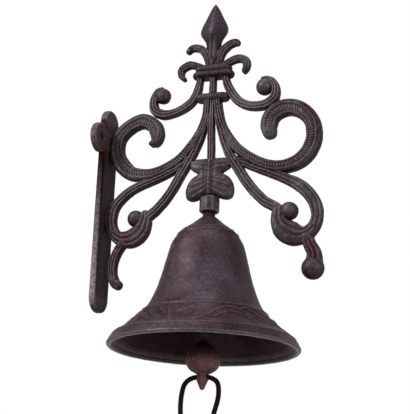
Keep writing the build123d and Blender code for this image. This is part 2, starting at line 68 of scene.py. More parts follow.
# Middle lines of the bars as (distance from the wall, height, width)
WALL_SCROLL = [
    (32.0, 130.6, 2.0), (35.0, 132.4, 6.2), (35.7, 137.2, 8.9), (33.2, 143.0, 9.4), (25.8, 146.8, 9.2),
    (17.2, 143.9, 8.7), (10.6, 137.6, 8.9), (8.8, 130.8, 9.4), (9.8, 124.0, 9.7), (13.9, 117.4, 10.2),
    (20.0, 112.4, 9.0), (28.0, 110.7, 7.6), (36.2, 111.5, 6.6), (44.3, 114.5, 6.2), (52.1, 119.4, 6.0),
    (58.3, 126.1, 5.8), (63.6, 134.0, 5.2), (67.0, 142.6, 4.6), (68.2, 150.0, 4.4), (68.2, 157.5, 4.4),
]
OUTER_SCROLL = [
    (109.0, 132.4, 8.6), (108.5, 137.0, 10.2), (110.2, 142.6, 10.4), (115.4, 146.6, 10.6), (122.6, 147.4, 10.2),
    (129.8, 144.2, 9.8), (135.0, 138.0, 9.6), (136.9, 131.0, 9.6), (136.2, 123.8, 9.6), (132.8, 117.0, 9.4),
    (127.0, 112.1, 8.8), (119.5, 109.9, 7.8), (111.6, 110.3, 7.1), (104.1, 113.0, 6.7), (97.0, 117.1, 6.5),
    (90.7, 121.9, 6.3), (85.6, 127.5, 6.1), (81.8, 133.5, 5.5), (78.5, 139.8, 5.0), (76.4, 147.4, 4.6),
    (74.8, 157.5, 4.4),
]
WALL_STEM = [
    (68.6, 146.0, 4.2), (66.2, 138.0, 4.8), (62.8, 129.0, 5.6), (58.0, 118.6, 5.8), (52.7, 109.3, 5.6),
    (48.2, 101.0, 5.6), (43.2, 93.6, 5.6), (37.7, 87.6, 5.6), (32.8, 83.6, 5.8),
]
OUTER_STEM = [
    (75.4, 146.0, 4.2), (77.6, 137.0, 4.6), (80.9, 127.0, 5.2), (84.9, 118.4, 6.2), (89.9, 110.5, 6.4),
    (95.2, 102.1, 6.6), (100.9, 94.9, 6.6), (107.0, 88.9, 6.4), (113.8, 84.8, 6.4),
]
WALL_BRANCH = [
    (54.5, 115.4, 3.8), (47.0, 111.9, 4.4), (38.0, 108.1, 4.8), (29.0, 105.0, 5.0), (21.0, 101.5, 5.4),
    (14.6, 96.8, 5.6), (10.0, 91.2, 6.2), (7.8, 84.6, 7.2), (8.6, 77.6, 7.2), (12.2, 72.1, 8.0),
    (17.6, 69.8, 10.4), (23.4, 70.6, 12.2), (28.2, 74.6, 11.6), (30.3, 80.2, 9.2), (30.8, 84.6, 6.4),
]
OUTER_BRANCH = [
    (88.5, 116.6, 4.4), (96.0, 112.5, 4.8), (104.0, 109.0, 5.2), (112.6, 105.4, 5.8), (120.4, 101.8, 6.3),
    (127.0, 98.2, 7.4), (132.2, 93.9, 7.8), (136.4, 88.5, 7.8), (138.9, 82.4, 7.6), (139.2, 76.4, 7.2),
    (136.8, 70.6, 7.8), (132.0, 67.0, 10.0), (125.8, 67.2, 14.0), (119.6, 70.6, 14.0), (116.3, 76.0, 10.4),
    (116.0, 82.0, 8.4),
]
WALL_TAIL = [
    (17.2, 67.8, 5.4), (13.2, 61.8, 5.6), (11.0, 54.8, 5.4), (11.0, 48.0, 5.6), (13.0, 42.6, 6.2),
    (14.6, 41.2, 6.2),
]
OUTER_TAIL = [
    (133.2, 65.4, 7.4), (135.2, 60.4, 7.8), (137.6, 55.4, 8.8), (137.8, 50.0, 10.2), (137.2, 47.0, 10.2),
]
WALL_ARM = [
    (63.0, 173.0, 3.2), (61.9, 166.0, 4.4), (59.9, 160.2, 5.0), (56.4, 155.6, 5.0), (51.0, 152.3, 4.8),
    (45.0, 150.3, 4.8), (39.3, 150.1, 6.0), (34.0, 152.6, 6.0), (32.2, 157.0, 5.6), (32.6, 162.0, 4.4),
    (34.8, 166.0, 3.4), (38.0, 167.4, 1.8),
]
OUTER_ARM = [
    (79.2, 173.0, 4.0), (81.0, 166.4, 5.2), (84.4, 160.0, 5.8), (88.4, 154.9, 5.8), (94.2, 151.5, 5.6),
    (100.4, 150.3, 5.6), (106.8, 151.2, 5.8), (111.6, 155.2, 5.8), (112.3, 161.0, 5.0), (110.4, 165.4, 4.2),
    (107.0, 167.6, 3.0), (103.8, 167.8, 1.6),
]
MIDDLE_STEM = [
    (71.4, 175.0, 3.8), (71.3, 160.0, 4.2), (71.3, 140.0, 4.2), (72.0, 118.0, 4.4), (72.2, 100.0, 4.6),
]
HIGH_WALL_PETAL = [
    (69.0, 180.0, 5.0), (66.4, 187.6, 5.6), (62.2, 192.6, 5.0), (57.0, 193.6, 4.4), (53.9, 191.4, 2.8),
]
HIGH_OUTER_PETAL = [
    (74.0, 180.0, 5.0), (76.1, 188.1, 5.5), (80.4, 192.8, 5.2), (84.4, 194.5, 4.8), (86.2, 194.4, 4.4),
]
LOW_WALL_PETAL = [
    (68.0, 176.6, 5.0), (61.6, 180.5, 4.4), (55.4, 182.2, 4.9), (50.4, 179.7, 4.8), (49.8, 175.8, 4.2),
    (51.8, 173.0, 3.0),
]
LOW_OUTER_PETAL = [
    (75.0, 176.6, 5.0), (81.4, 181.4, 4.8), (87.8, 183.4, 5.0), (92.5, 181.1, 5.3), (92.9, 177.2, 4.8),
    (91.8, 174.6, 3.4),
]
# Narrow grooves that leave reeds between them: (bars, points across,
# [(places across the half width from -1 to 1, first and last share of the length)])
REEDED_BARS = (
    ((WALL_STEM, OUTER_STEM, MIDDLE_STEM), 19, [((-0.36, 0.36), 0.0, 1.05)]),
    ((WALL_ARM, OUTER_ARM), 19, [((-0.4, 0.3), 0.0, 1.0)]),
    ((WALL_BRANCH, OUTER_BRANCH), 25, [((-0.42, 0.42), 0.02, 0.72), ((-0.5, 0.1), 0.68, 1.05)]),
    ((WALL_TAIL, OUTER_TAIL), 19, [((-0.3, 0.3), 0.1, 0.86)]),
)
GROOVE_WIDTH = 0.45
# Shares of the length over which a groove sets in and dies out
GROOVE_SETS_IN, GROOVE_DIES_OUT = 0.05, 0.08
# Shares of a big scroll's length where its rope ends and its reeds start, and a share past the end of the bar
ROPE_END = 0.84
REEDS_START = 0.82
PAST_END = 1.1
SCROLL_GROOVES = (-0.34, 0.34)
# The channel opens and closes over these shares of the length, and its walls slope over these millimetres
CHANNEL_OPENS, CHANNEL_CLOSES = 0.05, 0.06
CHANNEL_SLOPE = 0.8
# Rims as multiples of the panel's rim width. The outer one loses width between two shares of the length
INNER_RIM = 0.8
OUTER_RIM, OUTER_RIM_LOSS, OUTER_RIM_NARROWS = 1.9, 1.0, (0.4, 0.6)
# Shares of the rope's height between its ridges and in them
ROPE_VALLEY, ROPE_RIDGE = 0.45, 0.55
# Petals: grooves across the half width, where they run, their depth beside the other grooves, and how far the
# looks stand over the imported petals
PETAL_GROOVES, PETAL_GROOVE_RUN, PETAL_GROOVE_DEPTH = (-0.36, 0.36), (0.1, 0.95), 0.8
PETAL_COVER = 0.4
# Angles of the rings in a bar's round ends, how blunt the ends are, and how close to the sides relief reaches
END_RINGS = (84, 66, 48, 32, 16)
END_BLUNTNESS = 0.6
SIDE_POWER = 8

# Points and facets of the meshes
CORNER_POINTS, EAR_POINTS, HOLE_POINTS = 12, 36, 24
BALL_FACETS, BALL_RINGS, BALL_POLE = 40, 25, 0.02
BAND_END_POINTS, ROLL_RINGS = 28, 15
SPEAR_FACETS, BOSS_FACETS, LINING_FACETS, CORD_FACETS = 48, 80, 160, 28
LEAF_STEP, LEAF_PITCH, SPEAR_STEP, LINING_STEP, SHELL_STEP = 0.6, 0.4, 0.8, 2.5, 0.2
CORD_LINE_STEPS = 40
WELD_DISTANCE = 1e-6
TINY, FAR = 1e-9, 1e9

# Bands that bind the stems: (length, front to back, bottom, top, rounding of the edge)
COLLAR_BANDS = [(27.2, 11.0, 171.9, 175.7, 1.5), (24.0, 9.8, 175.0, 180.2, 2.4), (22.4, 9.6, 156.3, 160.7, 1.6)]

# Spearhead as (height, width, front to back), between a diamond (1) and an ellipse (2) in section
SPEAR = [(176.0, 10.0, 7.0), (186.0, 10.6, 8.0), (195.6, 10.6, 7.6), (203.6, 18.6, 10.0), (213.0, 11.6, 7.0),
         (219.5, 5.2, 3.6), (222.6, 1.0, 0.9)]
SPEAR_SECTION = 1.25
# Groove in the shaft of the spearhead: it deepens between the first two heights and fades between the others
SPEAR_GROOVE = (182, 186, 197, 203)
SPEAR_GROOVE_DEPTH = 1.2
SPEAR_GROOVE_WIDTH = 1.2

# Leaf outline, one half, as (sideways, height)
LEAF_TOP = [(0.0, 118.6), (8.6, 118.4), (13.2, 117.0)]
LEAF_SHOULDER = [(13.2, 117.0), (12.9, 112.3), (7.8, 108.6)]
LEAF_LOBE = [(7.8, 108.6), (11.6, 106.2), (14.4, 102.4), (15.5, 97.6), (14.7, 93.2), (11.5, 91.4), (7.8, 92.0),
             (4.4, 93.6)]
LEAF_VEINS = [[(0, 113.5), (5.0, 115.0), (10.0, 115.2)], [(0, 110.4), (5.0, 112.0), (10.0, 112.4)],
              [(0.5, 106.4), (5.0, 105.4), (9.6, 104.2)], [(0.5, 104.4), (6.0, 102.4), (12.0, 100.4)],
              [(0.5, 102.0), (6.0, 99.0), (12.6, 96.6)], [(0.5, 99.4), (5.0, 96.4), (10.0, 93.6)]]
LEAF_HALF_DEPTH = 3.2
LEAF_SWELL, LEAF_SWELL_EDGE = 0.5, (1.0, 5.0)
LEAF_EDGE_RADIUS = 2.4
MIDRIB_HEIGHT, MIDRIB_WIDTH = 0.9, 1.1
VEIN_HEIGHT, VEIN_WIDTH = 0.45, 0.42
# Distances from the edge over which the midrib and all the carving rise
MIDRIB_EDGE, CARVING_EDGE = (0, 1.0), (0.2, 1.2)
# Shallow hollow beside the midrib
HOLLOW_DEPTH, HOLLOW_PLACE, HOLLOW_WIDTH = 0.5, 2.6, 1.2

# Boss under the leaf: profile as (radius, height), filed to flats
BOSS_RADIUS = 6.1
BOSS = [(4.2, 87.0), (4.2, 84.3), (4.6, 84.0), (5.7, 84.0), (BOSS_RADIUS, 84.5), (BOSS_RADIUS, 86.0),
        (BOSS_RADIUS, 92.0), (BOSS_RADIUS - 0.2, 92.9), (BOSS_RADIUS - 0.9, 93.5), (4.2, 94.0), (2.6, 94.2)]
BOSS_FLATS = 10
BOSS_FLAT_DEPTH = 0.11

# Bell profile as (radius, height)
BELL_OUTSIDE = [
    (10.1, 76.0), (14.0, 73.1), (17.6, 70.0), (20.3, 66.0), (22.2, 62.0), (24.8, 52.0), (27.3, 42.0),
    (30.4, 32.6), (34.3, 24.4), (39.9, 18.0), (46.4, 11.9), (54.0, 6.2),
]
BELL_CROWN = [(3.8, 87.0), (3.8, 81.2), (6.4, 79.2)]
BELL_LIP = [(57.0, 1.6), (56.8, 0.6), (56.1, 0.0), (54.7, 0.0), (53.6, 0.8), (52.7, 1.7)]
# The lining starts inside the metal, behind the end of the lip
LINING_START = [(53.1, 2.0), (52.2, 2.25)]
BELL_CEILING = 73.6
# Corner between wall and ceiling: inwards and down
CEILING_CORNER = (1.0, 0.3)
BOLT_HOLE_RADIUS = 2.7
# Wall at the crown and at the mouth
BELL_WALL = (2.9, 4.2)
# Ridges round the bell: (height, how far they stand out, half width)
BELL_RIDGES = [(21.2, 0.8, 0.7), (6.6, 0.6, 0.6), (69.4, 0.5, 0.5), (71.7, 0.45, 0.45)]
# Heights between which the rings of the mesh lie close enough for the relief
FINE_ZONES = [(5.0, 22.6), (68.5, 72.5)]
FINE_STEP = 0.5
PLAIN_STEP = 1.2

# Leaves in the band round the bell, in millimetres along the band and up from its middle:
# (along, up, degrees of lean, half length, half width)
BAND_LEAVES = [
    (-4.5, 1.0, -40, 13.0, 2.0), (1.0, 4.0, -45, 9.0, 1.7), (-9.5, -1.6, -34, 9.5, 1.8),
    (7.6, -0.4, -65, 11.6, 1.4), (27.3, -1.4, 46, 10.5, 3.6), (17.0, 3.5, 30, 6.5, 2.0),
    (36.0, -8.0, -6, 8.5, 2.2),
]
# Arched stems in the band: (along, up at the crown, half length, drop)
BAND_STEMS = [(-9.0, 9.4, 12.0, 4.5), (44.5, 7.4, 15.0, 12.0), (45.5, 2.4, 14.0, 10.0)]
BAND_MIDDLE = 13.9
BAND_HALF = 7.3
# Leaves and stems are drawn at this half height, measured down the slope of the bell
BAND_DRAWN_HALF = 11
# The relief fades from this far inside the edges of the band to this far outside them
BAND_FADE_INSIDE, BAND_FADE_OUTSIDE = 0.8, 0.4
# Leaves wider than the first of these have a rib, cut to this share of the leaf and this wide
RIBBED_WIDTH, RIB_CUT, RIB_WIDTH = 3, 0.5, 0.7
# Stems have this width and taper off from this share of their half length
BAND_STEM_WIDTH, BAND_STEM_TAPER = 1.1, 0.8

# Lumps left by the sand mould
BROAD_LUMP, FINE_LUMP, FINE_LUMP_SHARE = 4.0, 1.6, 0.6
LUMP_HEIGHT = 0.12
# Seam left by the mould: half width of its top and of its foot, and how far it stands out
SEAM_TOP, SEAM_FOOT, SEAM_HEIGHT = 0.3, 0.8, 0.5

# The mouth of the bell is painted lighter several times as strongly as the ridges: partly rubbed, partly
# painted light on the lip
MOUTH_WEAR = 3.4
# Heights from the screws at which the painted light on the long sides of the plate starts and is full
HANDLED_FROM, HANDLED_FULL = -9, -15

# Camera in the shared frame, in metres, with its sensor in millimetres
SENSOR_WIDTH = 36
CAMERA_PLACE = (0.3071, -0.6536, -0.2583)
CAMERA_AHEAD = (-0.32706, 0.89858, 0.29254)
CAMERA_UP = (0.06061, -0.28898, 0.95541)
# The lamps point at the middle of the tracery's lower half
LAMP_TARGET = (0.07, 0, -0.04)

# Cord in metres: the hole in the clapper's tail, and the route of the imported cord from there
CORD_HOLE = (AXIS_X * MM, 0.0, (-15.6 - SCREW_LEVEL) * MM)
CORD_DIAMETER = 0.003
CORD_ROUTE = [
    (-0.0030, 0.0, -0.0720), (-0.0030, 0.0, -0.0600), (-0.0080, 0.0012, -0.0445), (-0.0124, 0.0016, -0.0285),
    (-0.0136, 0.0008, -0.0135), (-0.0102, 0.0, 0.0), (0.0088, 0.0, 0.0), (0.0112, -0.0006, -0.0105),
    (0.0074, -0.0014, -0.0240), (0.0046, -0.0012, -0.0400), (0.0010, 0.0, -0.0585), (0.0010, 0.0, -0.0720),
]

# Knot in metres, from the hole: a coil of tightened cord, level for its first share and then going down
KNOT_PLACE = (-0.001, 0, -0.072)
KNOT_TURNS = 2.6
KNOT_RADIUS, KNOT_TAPER = 0.0029, 0.0005
KNOT_TOP, KNOT_HEIGHT = 0.0004, 0.0077
KNOT_LEVEL_SHARE = 0.25
KNOT_CORD_RADIUS = 0.0014
KNOT_STEPS = 160
# Cut end below the knot
KNOT_END_STEPS = 11
KNOT_END_STEP = (-0.00008, 0.00002, -0.00022)


def linear(code):
    """sRGB hex value as a linear RGBA colour."""
    out = []
    for i in (0, 2, 4):
        value = int(code[i:i + 2], 16) / 255
        out.append(value / 12.92 if value <= 0.04045 else ((value + 0.055) / 1.055) ** 2.4)
    return (*out, 1.0)


# Shader nodes


def add_node(tree, kind, settings=None, inputs=None, links=None, stops=()):
    """Adds one shader node, sets its properties, input values and colour stops, and links its inputs."""
    node = tree.nodes.new("ShaderNode" + kind)
    for name, value in (settings or {}).items():
        setattr(node, name, value)
    for name, value in (inputs or {}).items():
        node.inputs[name].default_value = value
    for name, socket in (links or {}).items():
        tree.links.new(socket, node.inputs[name])
    for i, (position, colour) in enumerate(stops):
        stop = node.color_ramp.elements[i] if i < 2 else node.color_ramp.elements.new(position)
        stop.position, stop.color = position, colour
    return node


def new_material(name):
    """Empty node material and its tree."""
    material = bpy.data.materials.new(name)
    material.use_nodes = True
    material.node_tree.nodes.clear()
    return material, material.node_tree


def cast_iron(name, finish, dark, mid, light, wear=0.5, gloss=1.0, hollow_reach=3.0, seam=False,
              rubbed_up_to=0.0, rubbed_sides=False, waxed_sides=False):
    """Sand-cast iron under dark wax, with lengths in millimetres."""
    # Iron cast in sand, waxed while warm and rubbed by hand. The eye sees a red-brown black with a soft sheen,
    # patches of thicker wax, a fine grain, hollows painted nearly black as painted shade, and ridges painted
    # grey, partly where the wax is gone and partly as painted highlight
    material, tree = new_material(name)
    coordinates = add_node(tree, "TexCoord")
    place = coordinates.outputs["Object"]
    axes = add_node(tree, "SeparateXYZ", links={"Vector": place})
    cloud = add_node(tree, "TexNoise", links={"Vector": place},
                     inputs={"Scale": 1 / finish.patch_size, "Detail": 5.0, "Roughness": 0.62})
    # Moulding sand leaves grains of about 0.3 mm, drawn at 1.6 mm, the panel's grain size, so that they show
    grain = add_node(tree, "TexNoise", links={"Vector": place},
                     inputs={"Scale": 1 / finish.grain_size, "Detail": 6.0, "Roughness": 0.7})
    colour = add_node(tree, "ValToRGB", links={"Fac": cloud.outputs["Fac"]},
                      stops=[(0.34, linear(dark)), (0.5, linear(mid)), (0.66, linear(light))]).outputs[0]
    speck = add_node(tree, "ValToRGB", links={"Fac": grain.outputs["Fac"]},
                     stops=[(0.3, (0.4, 0.36, 0.37, 1)), (0.52, (1, 1, 1, 1)), (0.72, (1.5, 1.42, 1.42, 1))])
    # Of the mix's sockets, 0 is the share and 6 and 7 are the colours
    colour = add_node(tree, "Mix", {"data_type": "RGBA", "blend_type": "MULTIPLY"}, {0: 0.7},
                      {6: colour, 7: speck.outputs[0]}).outputs[2]
    # Hollows are darkened by their ambient occlusion: painted shade in a red-brown tone
    shade = add_node(tree, "AmbientOcclusion", {"samples": 8}, {"Distance": hollow_reach * MM})
    hollow = add_node(tree, "ValToRGB", links={"Fac": shade.outputs["AO"]},
                      stops=[(0.2, (0.3, 0.16, 0.17, 1)), (0.9, (1, 1, 1, 1))])
    colour = add_node(tree, "Mix", {"data_type": "RGBA", "blend_type": "MULTIPLY"}, {0: 0.9},
                      {6: colour, 7: hollow.outputs[0]}).outputs[2]
    if waxed_sides or rubbed_sides:
        facing = add_node(tree, "SeparateXYZ", links={"Vector": coordinates.outputs["Normal"]})
        side_on = add_node(tree, "Math", {"operation": "ABSOLUTE"}, links={0: facing.outputs["Y"]})
    if waxed_sides:
        # The narrow sides are painted darker and redder than the front and back: painted shade for sides turned
        # from the light
        film = add_node(tree, "MapRange", inputs={"From Min": 0.75, "From Max": 0.3},
                        links={"Value": side_on.outputs[0]})
        colour = add_node(tree, "Mix", {"data_type": "RGBA", "blend_type": "MULTIPLY"},
                          {7: (0.7, 0.5, 0.5, 1)}, {0: film.outputs[0], 6: colour}).outputs[2]
    # Ridges are painted greyer: partly metal rubbed bare, partly painted highlight along the ridges
    form = add_node(tree, "NewGeometry")
    rubbed = add_node(tree, "MapRange", inputs={"From Min": 0.505, "From Max": 0.57},
                      links={"Value": form.outputs["Pointiness"]}).outputs[0]
    if rubbed_up_to:
        # Towards the mouth the surface is painted lighter grey: partly wear, partly painted light on the lip
        low = add_node(tree, "MapRange", inputs={
            "From Min": (rubbed_up_to - SCREW_LEVEL) * MM, "From Max": -SCREW_LEVEL * MM, "To Max": MOUTH_WEAR},
            links={"Value": axes.outputs["Z"]})
        rubbed = add_node(tree, "Math", {"operation": "MAXIMUM"},
                          links={0: rubbed, 1: low.outputs[0]}).outputs[0]
    if rubbed_sides:
        # The long sides below the screw ears are painted lighter grey: painted light for a lit edge
        long_side = add_node(tree, "MapRange", inputs={"From Min": 0.5, "From Max": 0.85},
                             links={"Value": side_on.outputs[0]})
        below = add_node(tree, "MapRange", inputs={
            "From Min": HANDLED_FROM * MM, "From Max": HANDLED_FULL * MM},
            links={"Value": axes.outputs["Z"]})
        worn = add_node(tree, "Math", {"operation": "MULTIPLY"},
                        links={0: long_side.outputs[0], 1: below.outputs[0]})
        rubbed = add_node(tree, "Math", {"operation": "MAXIMUM"},
                          links={0: rubbed, 1: worn.outputs[0]}).outputs[0]
    # The grain breaks up the grey of wear and painted highlight, scaled by the strength given for each piece
    broken = add_node(tree, "MapRange", inputs={
        "From Min": 0.36, "From Max": 0.6, "To Min": 0.25 * wear, "To Max": wear},
        links={"Value": grain.outputs["Fac"]})
    share = add_node(tree, "Math", {"operation": "MULTIPLY", "use_clamp": True},
                     links={0: rubbed, 1: broken.outputs[0]})
    colour = add_node(tree, "Mix", {"data_type": "RGBA"}, {7: finish.worn[:]},
                      {0: share.outputs[0], 6: colour}).outputs[2]
    rough = add_node(tree, "MapRange", inputs={
        "From Min": 0.3, "From Max": 0.7, "To Min": finish.roughness - 0.1, "To Max": finish.roughness + 0.14},
        links={"Value": grain.outputs["Fac"]})
    pits = add_node(tree, "TexVoronoi", {"feature": "SMOOTH_F1"},
                    {"Scale": 1 / (finish.grain_size * 1.5)}, {"Vector": place})
    lumps = add_node(tree, "Bump", inputs={"Strength": 0.6, "Distance": finish.grain_height},
                     links={"Height": grain.outputs["Fac"]})
    pitted = add_node(tree, "Bump", inputs={"Strength": 0.3, "Distance": finish.grain_height},
                      links={"Height": pits.outputs["Distance"], "Normal": lumps.outputs["Normal"]})
    normal = pitted.outputs["Normal"]
    if seam:
        # Mould seam: a thin raised line down the front and back
        off = add_node(tree, "Math", {"operation": "SUBTRACT"}, {1: AXIS_X * MM}, {0: axes.outputs["X"]})
        near = add_node(tree, "Math", {"operation": "ABSOLUTE"}, links={0: off.outputs[0]})
        line = add_node(tree, "MapRange", inputs={
            "From Min": SEAM_TOP * MM, "From Max": SEAM_FOOT * MM, "To Min": 1.0, "To Max": 0.0},
            links={"Value": near.outputs[0]})
        raised = add_node(tree, "Bump", inputs={"Strength": 0.8, "Distance": SEAM_HEIGHT * MM},
                          links={"Height": line.outputs[0], "Normal": normal})
        normal = raised.outputs["Normal"]
    surface = add_node(tree, "BsdfPrincipled",
                       inputs={"Metallic": finish.metallic * gloss, "Specular IOR Level": finish.wax * gloss,
                               "Specular Tint": (0.4, 0.34, 0.35, 1)},
                       links={"Base Color": colour, "Roughness": rough.outputs[0], "Normal": normal})
    add_node(tree, "OutputMaterial", links={"Surface": surface.outputs[0]})
    return material


def dull_steel(name):
    """Turned plain steel, dulled by age."""
    # Plain steel off the lathe, kept indoors for years. The eye sees mid grey metal with brownish 1 mm stains
    # and a blurred highlight
    material, tree = new_material(name)
    place = add_node(tree, "TexCoord").outputs["Object"]
    stains = add_node(tree, "TexNoise", inputs={"Scale": 1 / (1.0 * MM), "Detail": 4.0},
                      links={"Vector": place})
    colour = add_node(tree, "ValToRGB", links={"Fac": stains.outputs["Fac"]},
                      stops=[(0.35, linear("3A3432")), (0.65, linear("5D5652"))])
    bump = add_node(tree, "Bump", inputs={"Strength": 0.3, "Distance": 0.1 * MM},
                    links={"Height": stains.outputs["Fac"]})
    surface = add_node(tree, "BsdfPrincipled", inputs={"Metallic": 0.9, "Roughness": 0.5},
                       links={"Base Color": colour.outputs[0], "Normal": bump.outputs["Normal"]})
    add_node(tree, "OutputMaterial", links={"Surface": surface.outputs[0]})
    return material


def braided_cord(name):
    """Tightly braided waxed cotton cord."""
    # Waxed cotton, braided and dyed dark. The eye sees matt brown-black with reddish flecks of lit fibre
    material, tree = new_material(name)
    place = add_node(tree, "TexCoord").outputs["Object"]
    # Cotton fibres are about 0.02 mm thick, drawn at 0.35 mm so that they show as flecks
    fibre = add_node(tree, "TexNoise", inputs={"Scale": 1 / (0.35 * MM), "Detail": 3.0},
                     links={"Vector": place})
    colour = add_node(tree, "ValToRGB", links={"Fac": fibre.outputs["Fac"]},
                      stops=[(0.34, linear("0A0507")), (0.54, linear("1E1013")), (0.7, linear("5C3A42"))])
    bump = add_node(tree, "Bump", inputs={"Strength": 0.5, "Distance": 0.12 * MM},
                    links={"Height": fibre.outputs["Fac"]})
    surface = add_node(tree, "BsdfPrincipled",
                       inputs={"Roughness": 0.82, "Specular IOR Level": 0.06},
                       links={"Base Color": colour.outputs[0], "Normal": bump.outputs["Normal"]})
    add_node(tree, "OutputMaterial", links={"Surface": surface.outputs[0]})
    return material


# Mesh code


def spline(points, step):
    """Points about one step apart on a smooth curve through the given ones."""
    p = np.array(points, float)
    ends = np.vstack([2 * p[0] - p[1], p, 2 * p[-1] - p[-2]])
    out = []
    for i in range(1, len(ends) - 2):
        a, b, c, d = ends[i - 1:i + 3]
        count = max(int(np.linalg.norm((c - b)[:2]) / step), 2)
        t = np.linspace(0, 1, count, endpoint=False)[:, None]
        out.append(0.5 * (2 * b + (c - a) * t + (2 * a - 5 * b + 4 * c - d) * t ** 2
                          + (3 * b - a - 3 * c + d) * t ** 3))
    return np.vstack(out + [p[-1:]])


def smooth(value, low, high):
    """0 below low, 1 above high, eased between."""
    t = np.clip((value - low) / (high - low), 0, 1)
    return t * t * (3 - 2 * t)


def curve_mesh(context, curve):
    """The mesh that a curve makes."""
    item = bpy.data.objects.new(curve.name, curve)
    context.scene.collection.objects.link(item)
    context.view_layer.update()
    mesh = bpy.data.meshes.new_from_object(item.evaluated_get(context.evaluated_depsgraph_get()))
    bpy.data.objects.remove(item)
    return mesh


def add_piece(name, mesh, material, body, node):
    """One smooth piece with one material that rides on its body and stands for its node, whose imported part it
    hides.
    """
    mesh.name = name
    mesh.materials.clear()
    mesh.materials.append(material)
    mesh.shade_smooth()
    piece = bpy.data.objects.new(name, mesh)
    bpy.context.scene.collection.objects.link(piece)
    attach(piece, body)
    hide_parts(node)
    return piece


def arc(across, height, radius, start, end, count):
    """Points on an arc about a centre."""
    return [(across + radius * cos(t), height + radius * sin(t)) for t in np.linspace(start, end, count)]


class Builder:
    """Collects vertices in millimetres and faces, and makes one object of them."""

    def __init__(self):
        self.verts, self.faces, self.count = [], [], 0

    def grid(self, rows, cap=False):
        """Quads over closed rings of equal length, with a face on each end where it is capped."""
        rows = np.array(rows)
        n, m = rows.shape[:2]
        index = np.arange(n * m).reshape(n, m) + self.count
        ahead = np.roll(index, -1, axis=1)
        quads = np.stack([index[:-1], ahead[:-1], ahead[1:], index[1:]], -1).reshape(-1, 4)
        self.faces += [tuple(q) for q in quads.tolist()]
        if cap:
            self.faces.append(tuple(index[0][::-1].tolist()))
            self.faces.append(tuple(index[-1].tolist()))
        self.verts.append(rows.reshape(-1, 3))
        self.count += n * m

    def make(self, name, material, node):
        """The object, which stands for a node of the bracket's body, with the small lumps of a sand casting."""
        verts = np.vstack(self.verts) * MM
        verts[:, 2] -= SCREW_LEVEL * MM
        mesh = bpy.data.meshes.new(name)
        mesh.from_pydata(verts.tolist(), [], self.faces)
        work = bmesh.new()
        work.from_mesh(mesh)
        bmesh.ops.remove_doubles(work, verts=work.verts, dist=WELD_DISTANCE)
        bmesh.ops.recalc_face_normals(work, faces=work.faces)
        work.normal_update()
        for vert in work.verts:
            place = vert.co / MM
            swell = noise.noise(place / BROAD_LUMP) + FINE_LUMP_SHARE * noise.noise(place / FINE_LUMP)
            vert.co += vert.normal * swell * LUMP_HEIGHT * MM
        work.to_mesh(mesh)
        work.free()
        add_piece(name, mesh, material, "bracket", node)


def rope_relief(u, half, s, share, settings, inner, last):
    """A rope in a sunk channel with slanting cuts across it, at u from -1 to 1 over a bar's half width."""
    # The outer rim is wide round the eye of the scroll and narrows on the way to the stem
    inner_rim = settings.rim_width * INNER_RIM
    outer_rim = settings.rim_width * (OUTER_RIM - OUTER_RIM_LOSS * smooth(share, *OUTER_RIM_NARROWS))
    to_inner, to_outer = (1 - u * inner) * half, (1 + u * inner) * half
    open_at_start = smooth(share, 0.0, CHANNEL_OPENS)
    inside = (smooth(to_inner, inner_rim, inner_rim + CHANNEL_SLOPE)
              * smooth(to_outer, outer_rim, outer_rim + CHANNEL_SLOPE))
    inside = inside * open_at_start * (1 - smooth(share, last - CHANNEL_CLOSES, last))
    place = (to_inner - inner_rim) / max(2 * half - inner_rim - outer_rim, 0.5)
    crown = np.sqrt(np.clip(1 - (2 * place - 1) ** 2, 0, 1))
    wave = 0.5 + 0.5 * np.cos(2 * pi * (s + u * half * settings.rope_slant) / settings.rope_pitch)
    return inside * (-settings.channel_depth + settings.rope_height * crown * (ROPE_VALLEY + ROPE_RIDGE * wave))


def reed_relief(u, half, share, places, depth, first, last):
    """Narrow grooves along a bar that leave round reeds between them."""
    fade = smooth(share, first, first + GROOVE_SETS_IN) * (1 - smooth(share, last - GROOVE_DIES_OUT, last))
    out = 0
    for place in places:
        out = out - depth * np.exp(-(((u - place) * half) / GROOVE_WIDTH) ** 2)
    return out * fade


def bar(build, route, depth, relief, across, step=0.5, edge=3.2):
    """A bar along a route with the same relief on both faces, squarer in section where edge is higher."""
    line = spline(route, step)
    xy, half = line[:, :2], line[:, 2] / 2
    way = np.gradient(xy, axis=0)
    way /= np.linalg.norm(way, axis=1)[:, None]
    steps = np.concatenate([[0], np.cumsum(np.linalg.norm(np.diff(xy, axis=0), axis=1))])
    # Round ends
    turns = np.radians(END_RINGS)
    start = [(xy[0] - way[0] * half[0] * sin(t), way[0], half[0] * cos(t), cos(t) ** END_BLUNTNESS,
              -half[0] * sin(t)) for t in turns]
    body = [(xy[i], way[i], half[i], 1.0, steps[i]) for i in range(len(xy))]
    end = [(xy[-1] + way[-1] * half[-1] * sin(t), way[-1], half[-1] * cos(t), cos(t) ** END_BLUNTNESS,
            steps[-1] + half[-1] * sin(t)) for t in turns[::-1]]
    u = np.sin(np.linspace(-pi / 2, pi / 2, across))
    rows = []
    for point, direction, h, flat, s in start + body + end:
        side = np.array([-direction[1], direction[0]])
        height = depth / 2 * (1 - np.abs(u) ** edge) ** (1 / edge) * flat
        height = height + relief(u, h, s, s / steps[-1]) * (1 - np.abs(u) ** SIDE_POWER) * flat
        x = point[0] + side[0] * u * h
        z = point[1] + side[1] * u * h
        near = np.stack([x, -height, z], 1)
        far = np.stack([x, height, z], 1)[1:-1][::-1]
        rows.append(np.vstack([near, far]))
    build.grid(rows, cap=True)


